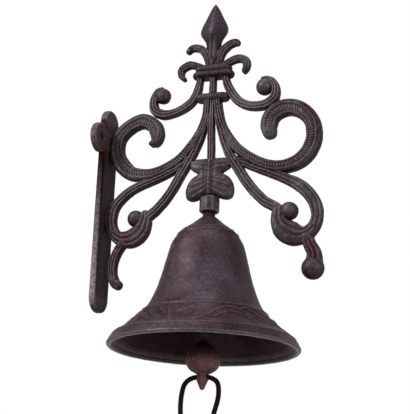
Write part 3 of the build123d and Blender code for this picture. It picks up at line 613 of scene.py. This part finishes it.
def ball(build, x, z, radius):
    """Smooth ball in the plane of the tracery."""
    rows = []
    theta = np.linspace(0, 2 * pi, BALL_FACETS, endpoint=False)
    for phi in np.linspace(BALL_POLE, pi - BALL_POLE, BALL_RINGS):
        rows.append(np.stack([x + radius * sin(phi) * np.cos(theta), radius * sin(phi) * np.sin(theta),
                              z + radius * cos(phi) * np.ones_like(theta)], 1))
    build.grid(rows, cap=True)


def band(build, x, length, depth, levels):
    """A lobed band: a slot shape seen from above, through (height, draw-in) levels."""
    rows = []
    for z, inset in levels:
        radius = depth / 2 - inset
        reach = length / 2 - depth / 2
        ring = []
        for side in (1, -1):
            for t in np.linspace(-pi / 2, pi / 2, BAND_END_POINTS):
                ring.append((x + side * (reach + radius * cos(t)), side * radius * sin(t), z))
        rows.append(ring)
    build.grid(rows, cap=True)


def roll(low, high, inset):
    """Levels for a band with a rounded edge."""
    out = []
    for t in np.linspace(-pi / 2, pi / 2, ROLL_RINGS):
        out.append(((low + high) / 2 + (high - low) / 2 * sin(t), inset * (1 - cos(t))))
    return out


def relief_plate(build, outline, height, pitch):
    """A plate on the XZ plane with an outline, its two faces raised by a height of (x, z, edge distance)."""
    outline = np.array(outline, float)
    low, high = outline.min(0) - pitch, outline.max(0) + pitch
    xs = np.arange(low[0], high[0] + pitch, pitch)
    zs = np.arange(low[1], high[1] + pitch, pitch)
    gx, gz = np.meshgrid(xs, zs, indexing="ij")
    a, b = outline, np.roll(outline, -1, axis=0)
    p = np.stack([gx, gz], -1)[..., None, :]
    d = b - a
    t = np.clip(((p - a) * d).sum(-1) / np.maximum((d * d).sum(-1), TINY), 0, 1)
    close = a + d * t[..., None]
    gap = np.linalg.norm(p - close, axis=-1)
    best = gap.argmin(-1)
    edge = gap.min(-1)
    nearest = np.take_along_axis(close, best[..., None, None], axis=-2)[..., 0, :]
    rise = np.where(d[:, 1] == 0, TINY, d[:, 1])
    crosses = ((a[:, 1] > p[..., 1]) != (b[:, 1] > p[..., 1])) & (
        p[..., 0] < (b[:, 0] - a[:, 0]) * (p[..., 1] - a[:, 1]) / rise + a[:, 0])
    inside = crosses.sum(-1) % 2 == 1
    rim = ~inside
    px = np.where(rim, nearest[..., 0], gx)
    pz = np.where(rim, nearest[..., 1], gz)
    edge = np.where(rim, 0, edge)
    y = height(px, pz, edge)
    index = np.full(gx.shape, -1)
    cells = inside[:-1, :-1] | inside[1:, :-1] | inside[:-1, 1:] | inside[1:, 1:]
    used = np.zeros_like(inside)
    for dx in (0, 1):
        for dz in (0, 1):
            used[dx:used.shape[0] - 1 + dx, dz:used.shape[1] - 1 + dz] |= cells
    index[used] = np.arange(used.sum())
    total = int(used.sum())
    for side in (-1, 1):
        verts = np.stack([px[used], side * y[used], pz[used]], 1)
        base = build.count
        build.verts.append(verts)
        build.count += total
        i, j = np.nonzero(cells)
        for m, n in zip(i, j):
            quad = (index[m, n], index[m + 1, n], index[m + 1, n + 1], index[m, n + 1])
            build.faces.append(tuple(int(q) + base for q in (quad if side < 0 else quad[::-1])))


def distance_to(path, x, z):
    """Distance from each point to a polyline."""
    best = np.full(np.shape(x), FAR)
    for (ax, az), (bx, bz) in zip(path, path[1:]):
        dx, dz = bx - ax, bz - az
        t = np.clip(((x - ax) * dx + (z - az) * dz) / (dx * dx + dz * dz), 0, 1)
        best = np.minimum(best, np.hypot(x - ax - dx * t, z - az - dz * t))
    return best


def lathe(build, profile, turns, relief=None):
    """Turns a profile of (radius, height) about the bell's axis."""
    theta = np.linspace(0, 2 * pi, turns, endpoint=False)
    rows = []
    for i, (radius, z) in enumerate(profile):
        out = radius + (relief(theta, i) if relief else 0)
        rows.append(np.stack([AXIS_X + out * np.cos(theta), out * np.sin(theta), np.full(turns, z)], 1))
    build.grid(rows)


# Settings


class TracerySettings(bpy.types.PropertyGroup):
    scroll_depth: FloatProperty(name="Scroll depth", description="Front to back of the big scrolls, mm",
                                default=8.0)
    arm_depth: FloatProperty(name="Arm depth", description="Front to back of the arms, mm", default=7.0)
    petal_depth: FloatProperty(name="Petal depth", description="Front to back of the petals, mm", default=5.0)
    rim_width: FloatProperty(name="Rim", description="Width of the rims beside the rope, mm", default=1.7)
    channel_depth: FloatProperty(name="Channel", description="Depth of the roped channel, mm", default=0.95)
    rope_height: FloatProperty(name="Rope", description="Height of the rope's ridges, mm", default=0.8)
    rope_pitch: FloatProperty(name="Rope pitch", description="Distance between ridges, mm", default=1.8)
    rope_slant: FloatProperty(name="Rope slant", description="Lean of the ridges", default=0.35)
    reed_depth: FloatProperty(name="Reeds", description="Depth between reeds, mm", default=0.75)


class BellSettings(bpy.types.PropertyGroup):
    relief_height: FloatProperty(name="Relief", description="Height of the leaves round the bell, mm",
                                 default=0.9)
    motifs: IntProperty(name="Leaves", description="Leaf groups round the bell", default=4)
    motif_length: FloatProperty(name="Group", description="Length of one leaf group, mm", default=71.0)
    turned: FloatProperty(name="Turned", description="Share of a group that the band is turned by",
                          default=0.182)
    turns: IntProperty(name="Facets", description="Facets round the bell", default=480)


class CordSettings(bpy.types.PropertyGroup):
    strands: IntProperty(name="Strands", description="Strands round the braid", default=8)
    braid_height: FloatProperty(name="Braid", description="Height of the strands", default=0.00018,
                                unit="LENGTH")
    braid_pitch: FloatProperty(name="Braid pitch", description="One turn of a strand", default=0.009,
                               unit="LENGTH")


class FinishSettings(bpy.types.PropertyGroup):
    # Grey of rubbed metal, also used for painted highlight on ridges and the lip and for painted light on the
    # plate's sides
    worn: FloatVectorProperty(name="Worn metal", description="Colour of the rubbed ridges", subtype="COLOR",
                              size=4, default=linear("8A7F80"), min=0, max=1)
    patch_size: FloatProperty(name="Patches", description="Size of the colour patches", default=0.03,
                              unit="LENGTH")
    grain_size: FloatProperty(name="Grain", description="Size of the sand grain", default=0.0016, unit="LENGTH")
    grain_height: FloatProperty(name="Grain height", description="Height of the grain", default=0.0003,
                                unit="LENGTH")
    roughness: FloatProperty(name="Roughness", description="Roughness of the waxed iron", default=0.42)
    metallic: FloatProperty(name="Metallic", description="Share of bare metal under the wax", default=0.4)
    wax: FloatProperty(name="Wax", description="Gloss of the wax", default=0.06)


class StageSettings(bpy.types.PropertyGroup):
    lens: FloatProperty(name="Lens", description="Focal length, mm", default=104.35)
    sky: FloatProperty(name="Surround", description="Light from all round", default=0.3)
    key_power: FloatProperty(name="Key light", description="Power of the window light", default=12.0,
                             unit="POWER")
    fill_power: FloatProperty(name="Fill light", description="Power of the fill", default=4.2, unit="POWER")


GROUPS = {"bell_tracery": TracerySettings, "bell_bell": BellSettings, "bell_cord": CordSettings,
          "bell_finish": FinishSettings, "bell_stage": StageSettings}


# Pieces


def iron_for(name, scene, **changes):
    """Cast iron in the bracket's tones apart from what is changed, one material for each group of pieces."""
    tones = dict(dark="2A1518", mid="322A2D", light="444248", wear=0.6)
    tones.update(changes)
    return cast_iron(name, scene.bell_finish, **tones)


class BELL_OT_plate(bpy.types.Operator):
    """Build the wall plate with its two screw ears"""

    bl_idname = "wall_bell.plate"
    bl_label = "Wall plate"

    def execute(self, context):
        half, reach = PLATE_WIDTH / 2, EAR_SPACING / 2
        rise = sqrt(EAR_RADIUS ** 2 - (reach - half) ** 2)
        ear_turn = atan2(rise, half - reach)
        curve = bpy.data.curves.new("plate_outline", "CURVE")
        curve.dimensions = "2D"
        curve.fill_mode = "BOTH"
        curve.extrude = (PLATE_THICKNESS / 2 - PLATE_BEVEL) * MM
        curve.bevel_depth = PLATE_BEVEL * MM
        curve.bevel_resolution = 3
        curve.offset = -PLATE_BEVEL * MM
        corner = half - PLATE_CORNER
        outline = (arc(corner, PLATE_BOTTOM + PLATE_CORNER, PLATE_CORNER, -pi / 2, 0, CORNER_POINTS)
                   + arc(reach, SCREW_LEVEL, EAR_RADIUS, -ear_turn, ear_turn, EAR_POINTS)
                   + arc(corner, PLATE_TOP - PLATE_CORNER, PLATE_CORNER, 0, pi / 2, CORNER_POINTS))
        outline += [(-y, z) for y, z in reversed(outline)]
        holes = [arc(side * reach, SCREW_LEVEL, SCREW_HOLE_RADIUS, 0, 2 * pi, HOLE_POINTS + 1)[:-1]
                 for side in (-1, 1)]
        for loop in [outline] + holes:
            line = curve.splines.new("POLY")
            line.points.add(len(loop) - 1)
            line.use_cyclic_u = True
            for point, (y, z) in zip(line.points, loop):
                point.co = (y * MM, (z - SCREW_LEVEL) * MM, 0, 1)
        mesh = curve_mesh(context, curve)
        # The outline's own X runs across the wall and its Y up the wall
        mesh.transform(Matrix(((0, 0, 1, PLATE_THICKNESS / 2 * MM), (1, 0, 0, 0), (0, 1, 0, 0), (0, 0, 0, 1))))
        # The face is painted a darker red-brown than the other pieces: painted shade for a sheltered face
        # turned from the light. The long edges are painted grey: painted light
        iron = iron_for("waxed_cast_iron_plate", context.scene, dark="1E0F0F", mid="2B1516", light="381F20",
                        wear=1.1, gloss=0.2, rubbed_sides=True)
        add_piece("wall_plate", mesh, iron, "bracket", "bracket")
        return {"FINISHED"}


class BELL_OT_scrolls(bpy.types.Operator):
    """Build the two big scrolls with their roped channels"""

    bl_idname = "wall_bell.scrolls"
    bl_label = "Roped scrolls"

    def execute(self, context):
        t = context.scene.bell_tracery
        iron = iron_for("waxed_cast_iron_scrolls", context.scene, waxed_sides=True)
        for name, route, inner in (("wall_scroll", WALL_SCROLL, 1), ("outer_scroll", OUTER_SCROLL, -1)):
            def relief(u, half, s, share):
                rope = rope_relief(u, half, s, share, t, inner, ROPE_END)
                return rope + reed_relief(u, half, share, SCROLL_GROOVES, t.reed_depth, REEDS_START, PAST_END)

            build = Builder()
            bar(build, route, t.scroll_depth, relief, across=37, step=0.3, edge=4.0)
            build.make(name, iron, "bracket")
        return {"FINISHED"}


class BELL_OT_branches(bpy.types.Operator):
    """Build the branches, stems, arms, tails and balls"""

    bl_idname = "wall_bell.branches"
    bl_label = "Branches"

    def execute(self, context):
        t = context.scene.bell_tracery
        build = Builder()
        for routes, across, reeds in REEDED_BARS:
            for route in routes:
                bar(build, route, t.arm_depth,
                    lambda u, h, s, share: sum(reed_relief(u, h, share, places, t.reed_depth, first, last)
                                               for places, first, last in reeds), across)
        for x, z, radius in BALLS:
            ball(build, x, z, radius)
        build.make("branches", iron_for("waxed_cast_iron_branches", context.scene, waxed_sides=True), "bracket")
        return {"FINISHED"}


class BELL_OT_leaf(bpy.types.Operator):
    """Build the veined leaf and the boss under it"""

    bl_idname = "wall_bell.leaf"
    bl_label = "Leaf and boss"

    def execute(self, context):
        half = [p[:2] for p in LEAF_TOP]
        half += spline([(x, z, 0) for x, z in LEAF_SHOULDER], LEAF_STEP)[1:, :2].tolist()
        half += spline([(x, z, 0) for x, z in LEAF_LOBE], LEAF_STEP)[1:, :2].tolist()
        half.append((0.0, LEAF_LOBE[-1][1]))
        outline = [(AXIS_X + x, z) for x, z in half] + [(AXIS_X - x, z) for x, z in reversed(half[1:-1])]

        def height(x, z, edge):
            side = np.abs(x - AXIS_X)
            dome = LEAF_HALF_DEPTH * (1 - (1 - np.clip(edge / LEAF_EDGE_RADIUS, 0, 1)) ** 2) ** 0.5
            dome = dome + LEAF_SWELL * smooth(edge, *LEAF_SWELL_EDGE)
            rib = MIDRIB_HEIGHT * np.exp(-(side / MIDRIB_WIDTH) ** 2) * smooth(edge, *MIDRIB_EDGE)
            veins = 0
            for path in LEAF_VEINS:
                veins = veins + VEIN_HEIGHT * np.exp(-(distance_to(path, side, z) / VEIN_WIDTH) ** 2)
            hollow = -HOLLOW_DEPTH * np.exp(-((side - HOLLOW_PLACE) / HOLLOW_WIDTH) ** 2)
            return dome + (rib + veins + hollow) * smooth(edge, *CARVING_EDGE)

        build = Builder()
        relief_plate(build, outline, height, LEAF_PITCH)
        lathe(build, BOSS, BOSS_FACETS, lambda theta, i: -BOSS_FLAT_DEPTH * (1 + np.cos(BOSS_FLATS * theta)))
        build.make("leaf_and_boss", iron_for("waxed_cast_iron_leaf", context.scene, dark="292327", mid="3E373C",
                                             light="544E53", waxed_sides=True), "bracket")
        return {"FINISHED"}


class BELL_OT_finial(bpy.types.Operator):
    """Build the collar, the waist band, the petals and the spearhead"""

    bl_idname = "wall_bell.finial"
    bl_label = "Finial"

    def execute(self, context):
        t = context.scene.bell_tracery
        build = Builder()
        for length, depth, low, high, inset in COLLAR_BANDS:
            band(build, COLLAR_X, length, depth, roll(low, high, inset))
        for route in (HIGH_WALL_PETAL, HIGH_OUTER_PETAL, LOW_WALL_PETAL, LOW_OUTER_PETAL):
            bar(build, route, t.petal_depth + PETAL_COVER, lambda u, h, s, share: reed_relief(
                u, h, share, PETAL_GROOVES, t.reed_depth * PETAL_GROOVE_DEPTH, *PETAL_GROOVE_RUN),
                across=19, step=0.4)
        rows = []
        for z, width, depth in spline(SPEAR, SPEAR_STEP):
            ring = []
            groove = smooth(z, *SPEAR_GROOVE[:2]) * (1 - smooth(z, *SPEAR_GROOVE[2:]))
            for angle in np.linspace(0, 2 * pi, SPEAR_FACETS, endpoint=False):
                c, s = cos(angle), sin(angle)
                scale = (abs(c) ** SPEAR_SECTION + abs(s) ** SPEAR_SECTION) ** (-1 / SPEAR_SECTION)
                y = scale * s * depth / 2
                x = scale * c * width / 2
                dip = groove * SPEAR_GROOVE_DEPTH * np.exp(-(x / SPEAR_GROOVE_WIDTH) ** 2)
                ring.append((FINIAL_X + x, y - np.sign(y) * dip, z))
            rows.append(ring)
        build.grid(rows, cap=True)
        build.make("finial", iron_for("waxed_cast_iron_finial", context.scene, dark="1D1519", mid="2B2429",
                                      light="3B3339", wear=0.45, waxed_sides=True), "bracket")
        return {"FINISHED"}


class BELL_OT_bell(bpy.types.Operator):
    """Build the bell with its ridges and the leaves in relief"""

    bl_idname = "wall_bell.bell"
    bl_label = "Bell"

    def execute(self, context):
        s = context.scene.bell_bell
        drawn = BELL_CROWN[1:] + BELL_OUTSIDE + BELL_LIP[:1]
        fine = spline([(r, z, 0) for r, z in drawn], SHELL_STEP)[:, :2]
        out = [fine[0]]
        for point in fine[1:]:
            step = FINE_STEP if any(low < point[1] < high for low, high in FINE_ZONES) else PLAIN_STEP
            if np.linalg.norm(point - out[-1]) >= step:
                out.append(point)
        out = np.array(out)
        inner = spline([(r, z, 0) for r, z in BELL_OUTSIDE], LINING_STEP)[:, :2]
        way = np.gradient(inner, axis=0)
        way /= np.linalg.norm(way, axis=1)[:, None]
        wall = np.linspace(BELL_WALL[0], BELL_WALL[1], len(inner))[:, None]
        inner = inner + np.stack([way[:, 1], -way[:, 0]], 1) * wall
        # The wall turns into the flat ceiling with a small hollow corner
        inner = inner[inner[:, 1] < BELL_CEILING - CEILING_CORNER[1]]
        ceiling = [(inner[0, 0] - CEILING_CORNER[0], BELL_CEILING), (BOLT_HOLE_RADIUS, BELL_CEILING)]
        lining = LINING_START + inner[::-1].tolist() + ceiling
        profile = [BELL_CROWN[0]] + out.tolist() + BELL_LIP

        def relief(theta, i):
            z = profile[i][1]
            total = np.full_like(theta, sum(stand * np.exp(-((z - level) / width) ** 2)
                                            for level, stand, width in BELL_RIDGES))
            off = abs(z - BAND_MIDDLE)
            if off > BAND_HALF + BAND_FADE_OUTSIDE or i > len(out):
                return total
            fade = smooth(off, BAND_HALF - BAND_FADE_INSIDE, BAND_HALF + BAND_FADE_OUTSIDE)
            height = s.relief_height * (1 - fade)
            up = (z - BAND_MIDDLE) * BAND_DRAWN_HALF / BAND_HALF
            along = ((theta * s.motifs / (2 * pi) + s.turned) % 1.0) * s.motif_length
            for middle, level, lean, length, width in BAND_LEAVES:
                for wrap in (-s.motif_length, 0, s.motif_length):
                    dx, dy = along - middle - wrap, up - level
                    a = lean * pi / 180
                    u, v = dx * cos(a) + dy * sin(a), -dx * sin(a) + dy * cos(a)
                    body = np.sqrt(np.clip(1 - (u / length) ** 2 - (v / width) ** 2, 0, 1))
                    rib = RIB_CUT * np.exp(-(v / RIB_WIDTH) ** 2) * body if width > RIBBED_WIDTH else 0
                    total = np.maximum(total, height * (body - rib))
            for middle, level, length, drop in BAND_STEMS:
                for wrap in (-s.motif_length, 0, s.motif_length):
                    dx = along - middle - wrap
                    curve = level - drop * (dx / length) ** 2
                    ends = 1 - smooth(abs(dx), length * BAND_STEM_TAPER, length)
                    total = np.maximum(total, height * ends * np.exp(-((up - curve) / BAND_STEM_WIDTH) ** 2))
            return total

        scene = context.scene
        build = Builder()
        lathe(build, profile, s.turns, relief)
        # The edge of the mouth is painted lighter grey: partly rubbed by hands and by the clapper, partly
        # painted highlight where the edge catches the light
        shell = iron_for("waxed_cast_iron_bell", scene, dark="2C1D21", mid="3A2E33", light="453C43", wear=0.5,
                         rubbed_up_to=0.4)
        build.make("bell_shell", shell, "bell")
        build = Builder()
        lathe(build, lining, LINING_FACETS)
        # Unwaxed and matt. A long-reaching ambient occlusion paints it nearly black in its depth: painted
        # shade.
        # Near the lip it is painted lighter: partly worn where hands and the clapper reach, partly painted
        # light falling in at the mouth
        inside = iron_for("cast_iron_bell_inside", scene, dark="281A1E", mid="3A282D", light="4A363C",
                          wear=0.35, gloss=0.1, hollow_reach=60.0, rubbed_up_to=5.0)
        build.make("bell_inside", inside, "bell")
        return {"FINISHED"}


class BELL_OT_fittings(bpy.types.Operator):
    """Give the clapper, bolt, washer, nut and link their finishes"""

    bl_idname = "wall_bell.fittings"
    bl_label = "Clapper and fittings"

    def execute(self, context):
        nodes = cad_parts
        # Bare casting with a film of rust: redder than the waxed iron, with the mould seam left on. Its colours
        # are lighter than the rust alone: painted light, as little light reaches it under the bell
        clapper = iron_for("cast_iron_clapper", context.scene, dark="4E3233", mid="745252", light="8E6C6B",
                           wear=0.4, gloss=0.5, seam=True)
        # Bolt and link are bare iron out of the weather: brownish and dull
        bare = iron_for("cast_iron_bolt", context.scene, dark="231B1A", mid="352C2B", light="463D3B", wear=0.3)
        steel = dull_steel("dulled_turned_steel")
        for name, material in (("clapper", clapper), ("eye_bolt", bare), ("link", bare), ("washer", steel),
                               ("hex_nut", steel)):
            for slot in nodes[name].material_slots:
                slot.material = material
        return {"FINISHED"}


class BELL_OT_cord(bpy.types.Operator):
    """Build the braided pull cord and its knot"""

    bl_idname = "wall_bell.cord"
    bl_label = "Pull cord"

    def execute(self, context):
        c = context.scene.bell_cord
        points = [Vector(CORD_HOLE) + Vector(p) for p in CORD_ROUTE]
        curve = bpy.data.curves.new("cord_line", "CURVE")
        curve.dimensions = "3D"
        line = curve.splines.new("NURBS")
        line.points.add(len(points) - 1)
        for point, place in zip(line.points, points):
            point.co = (*place, 1)
        line.order_u = 3
        line.use_endpoint_u = True
        line.resolution_u = CORD_LINE_STEPS
        mesh = curve_mesh(context, curve)
        path = [v.co.copy() for v in mesh.vertices]
        bpy.data.meshes.remove(mesh)
        material = braided_cord("braided_cord")
        cord = self.braid("pull_cord_braid", "pull_cord", path, CORD_DIAMETER / 2, c, material)
        knot = self.braid("cord_knot_braid", "cord_knot", self.knot_path(), KNOT_CORD_RADIUS, c, material)
        return {"FINISHED"}

    def braid(self, name, node, path, radius, c, material):
        """A tube of crossing strands along a path, which keeps its twist as it turns."""
        verts, faces = [], []
        around = CORD_FACETS
        side = Vector((0, 1, 0))
        length = 0.0
        for i, place in enumerate(path):
            way = (path[min(i + 1, len(path) - 1)] - path[max(i - 1, 0)]).normalized()
            side = (side - way * side.dot(way)).normalized()
            up = way.cross(side)
            if i:
                length += (place - path[i - 1]).length
            for k in range(around):
                a = 2 * pi * k / around
                swing = 2 * pi * length / c.braid_pitch
                left = cos(c.strands / 2 * (a + swing))
                right = cos(c.strands / 2 * (a - swing))
                r = radius - c.braid_height * (1 - max(left, right))
                verts.append(place + (side * cos(a) + up * sin(a)) * r)
            if i:
                for k in range(around):
                    m, n = (i - 1) * around + k, (i - 1) * around + (k + 1) % around
                    faces.append((m, n, n + around, m + around))
        faces.append(tuple(range(around))[::-1])
        faces.append(tuple(range(len(verts) - around, len(verts))))
        mesh = bpy.data.meshes.new(name)
        mesh.from_pydata([tuple(v) for v in verts], [], faces)
        return add_piece(name, mesh, material, "clapper", node)

    def knot_path(self):
        """The cord in its knot: a coil with a short end below it."""
        middle = Vector(CORD_HOLE) + Vector(KNOT_PLACE)
        path = []
        for k in range(KNOT_STEPS + 1):
            t = k / KNOT_STEPS
            a = 2 * pi * KNOT_TURNS * t
            reach = KNOT_RADIUS - KNOT_TAPER * t
            drop = KNOT_TOP + KNOT_HEIGHT * max(t - KNOT_LEVEL_SHARE, 0) / (1 - KNOT_LEVEL_SHARE)
            path.append(middle + Vector((reach * cos(a), reach * sin(a), -drop)))
        for k in range(1, KNOT_END_STEPS + 1):
            path.append(path[KNOT_STEPS] + Vector([step * k for step in KNOT_END_STEP]))
        return path


class BELL_OT_stage(bpy.types.Operator):
    """Set the camera, the window light and the white surround"""

    bl_idname = "wall_bell.stage"
    bl_label = "Stage"

    def execute(self, context):
        s = context.scene.bell_stage
        scene = context.scene
        scene.view_settings.view_transform = "Standard"
        world = bpy.data.worlds.new("studio")
        world.use_nodes = True
        tree = world.node_tree
        tree.nodes.clear()
        rays = add_node(tree, "LightPath")
        glossy = add_node(tree, "Math", {"operation": "MAXIMUM"},
                          links={0: rays.outputs["Is Camera Ray"], 1: rays.outputs["Is Glossy Ray"]})
        seen = add_node(tree, "Math", {"operation": "MAXIMUM"},
                        links={0: glossy.outputs[0], 1: rays.outputs["Is Transmission Ray"]})
        light = add_node(tree, "Background", inputs={"Color": (1, 1, 1, 1), "Strength": s.sky})
        white = add_node(tree, "Background", inputs={"Color": (1, 1, 1, 1), "Strength": 1.0})
        choose = add_node(tree, "MixShader",
                          links={0: seen.outputs[0], 1: light.outputs[0], 2: white.outputs[0]})
        add_node(tree, "OutputWorld", links={"Surface": choose.outputs[0]})
        scene.world = world
        data = bpy.data.cameras.new("camera")
        data.lens = s.lens
        data.sensor_width = SENSOR_WIDTH
        camera = bpy.data.objects.new("camera", data)
        scene.collection.objects.link(camera)
        ahead = Vector(CAMERA_AHEAD).normalized()
        right = ahead.cross(Vector(CAMERA_UP)).normalized()
        up = right.cross(ahead)
        turn = Matrix((right, up, -ahead)).transposed().to_4x4()
        camera.matrix_world = Matrix.Translation(CAMERA_PLACE) @ turn
        scene.camera = camera
        for name, spot, size, power in (
            ("key", Vector((-0.5, -0.7, 0.45)), 0.35, s.key_power),
            ("fill", Vector((0.9, -0.5, 0.1)), 0.5, s.fill_power),
            ("top", Vector((0.1, -0.1, 0.9)), 0.3, s.fill_power),
        ):
            lamp = bpy.data.lights.new(name, "AREA")
            lamp.size = size
            lamp.energy = power
            item = bpy.data.objects.new(name, lamp)
            item.location = spot
            item.rotation_euler = (Vector(LAMP_TARGET) - spot).to_track_quat("-Z", "Y").to_euler()
            scene.collection.objects.link(item)
        return {"FINISHED"}


OPERATORS = (BELL_OT_stage, BELL_OT_cord, BELL_OT_plate, BELL_OT_scrolls, BELL_OT_branches, BELL_OT_leaf,
             BELL_OT_finial, BELL_OT_bell, BELL_OT_fittings)


class BELL_PT_panel(bpy.types.Panel):
    """Settings and steps of the wall bell"""

    bl_idname = "BELL_PT_panel"
    bl_label = "Wall bell"
    bl_space_type = "VIEW_3D"
    bl_region_type = "UI"
    bl_category = "Wall bell"

    def draw(self, context):
        for group, kind in GROUPS.items():
            box = self.layout.box()
            for name in kind.__annotations__:
                box.prop(getattr(context.scene, group), name)
        for operator in OPERATORS:
            self.layout.operator(operator.bl_idname)


CLASSES = (*GROUPS.values(), *OPERATORS, BELL_PT_panel)


def register():
    for kind in CLASSES:
        bpy.utils.register_class(kind)
    for name, kind in GROUPS.items():
        setattr(bpy.types.Scene, name, PointerProperty(type=kind))


def unregister():
    for name in GROUPS:
        delattr(bpy.types.Scene, name)
    for kind in reversed(CLASSES):
        bpy.utils.unregister_class(kind)


def main():
    register()
    bpy.ops.wall_bell.stage()
    bpy.ops.wall_bell.cord()
    bpy.ops.wall_bell.plate()
    bpy.ops.wall_bell.scrolls()
    bpy.ops.wall_bell.branches()
    bpy.ops.wall_bell.leaf()
    bpy.ops.wall_bell.finial()
    bpy.ops.wall_bell.bell()
    bpy.ops.wall_bell.fittings()


if __name__ == "__main__":
    main()
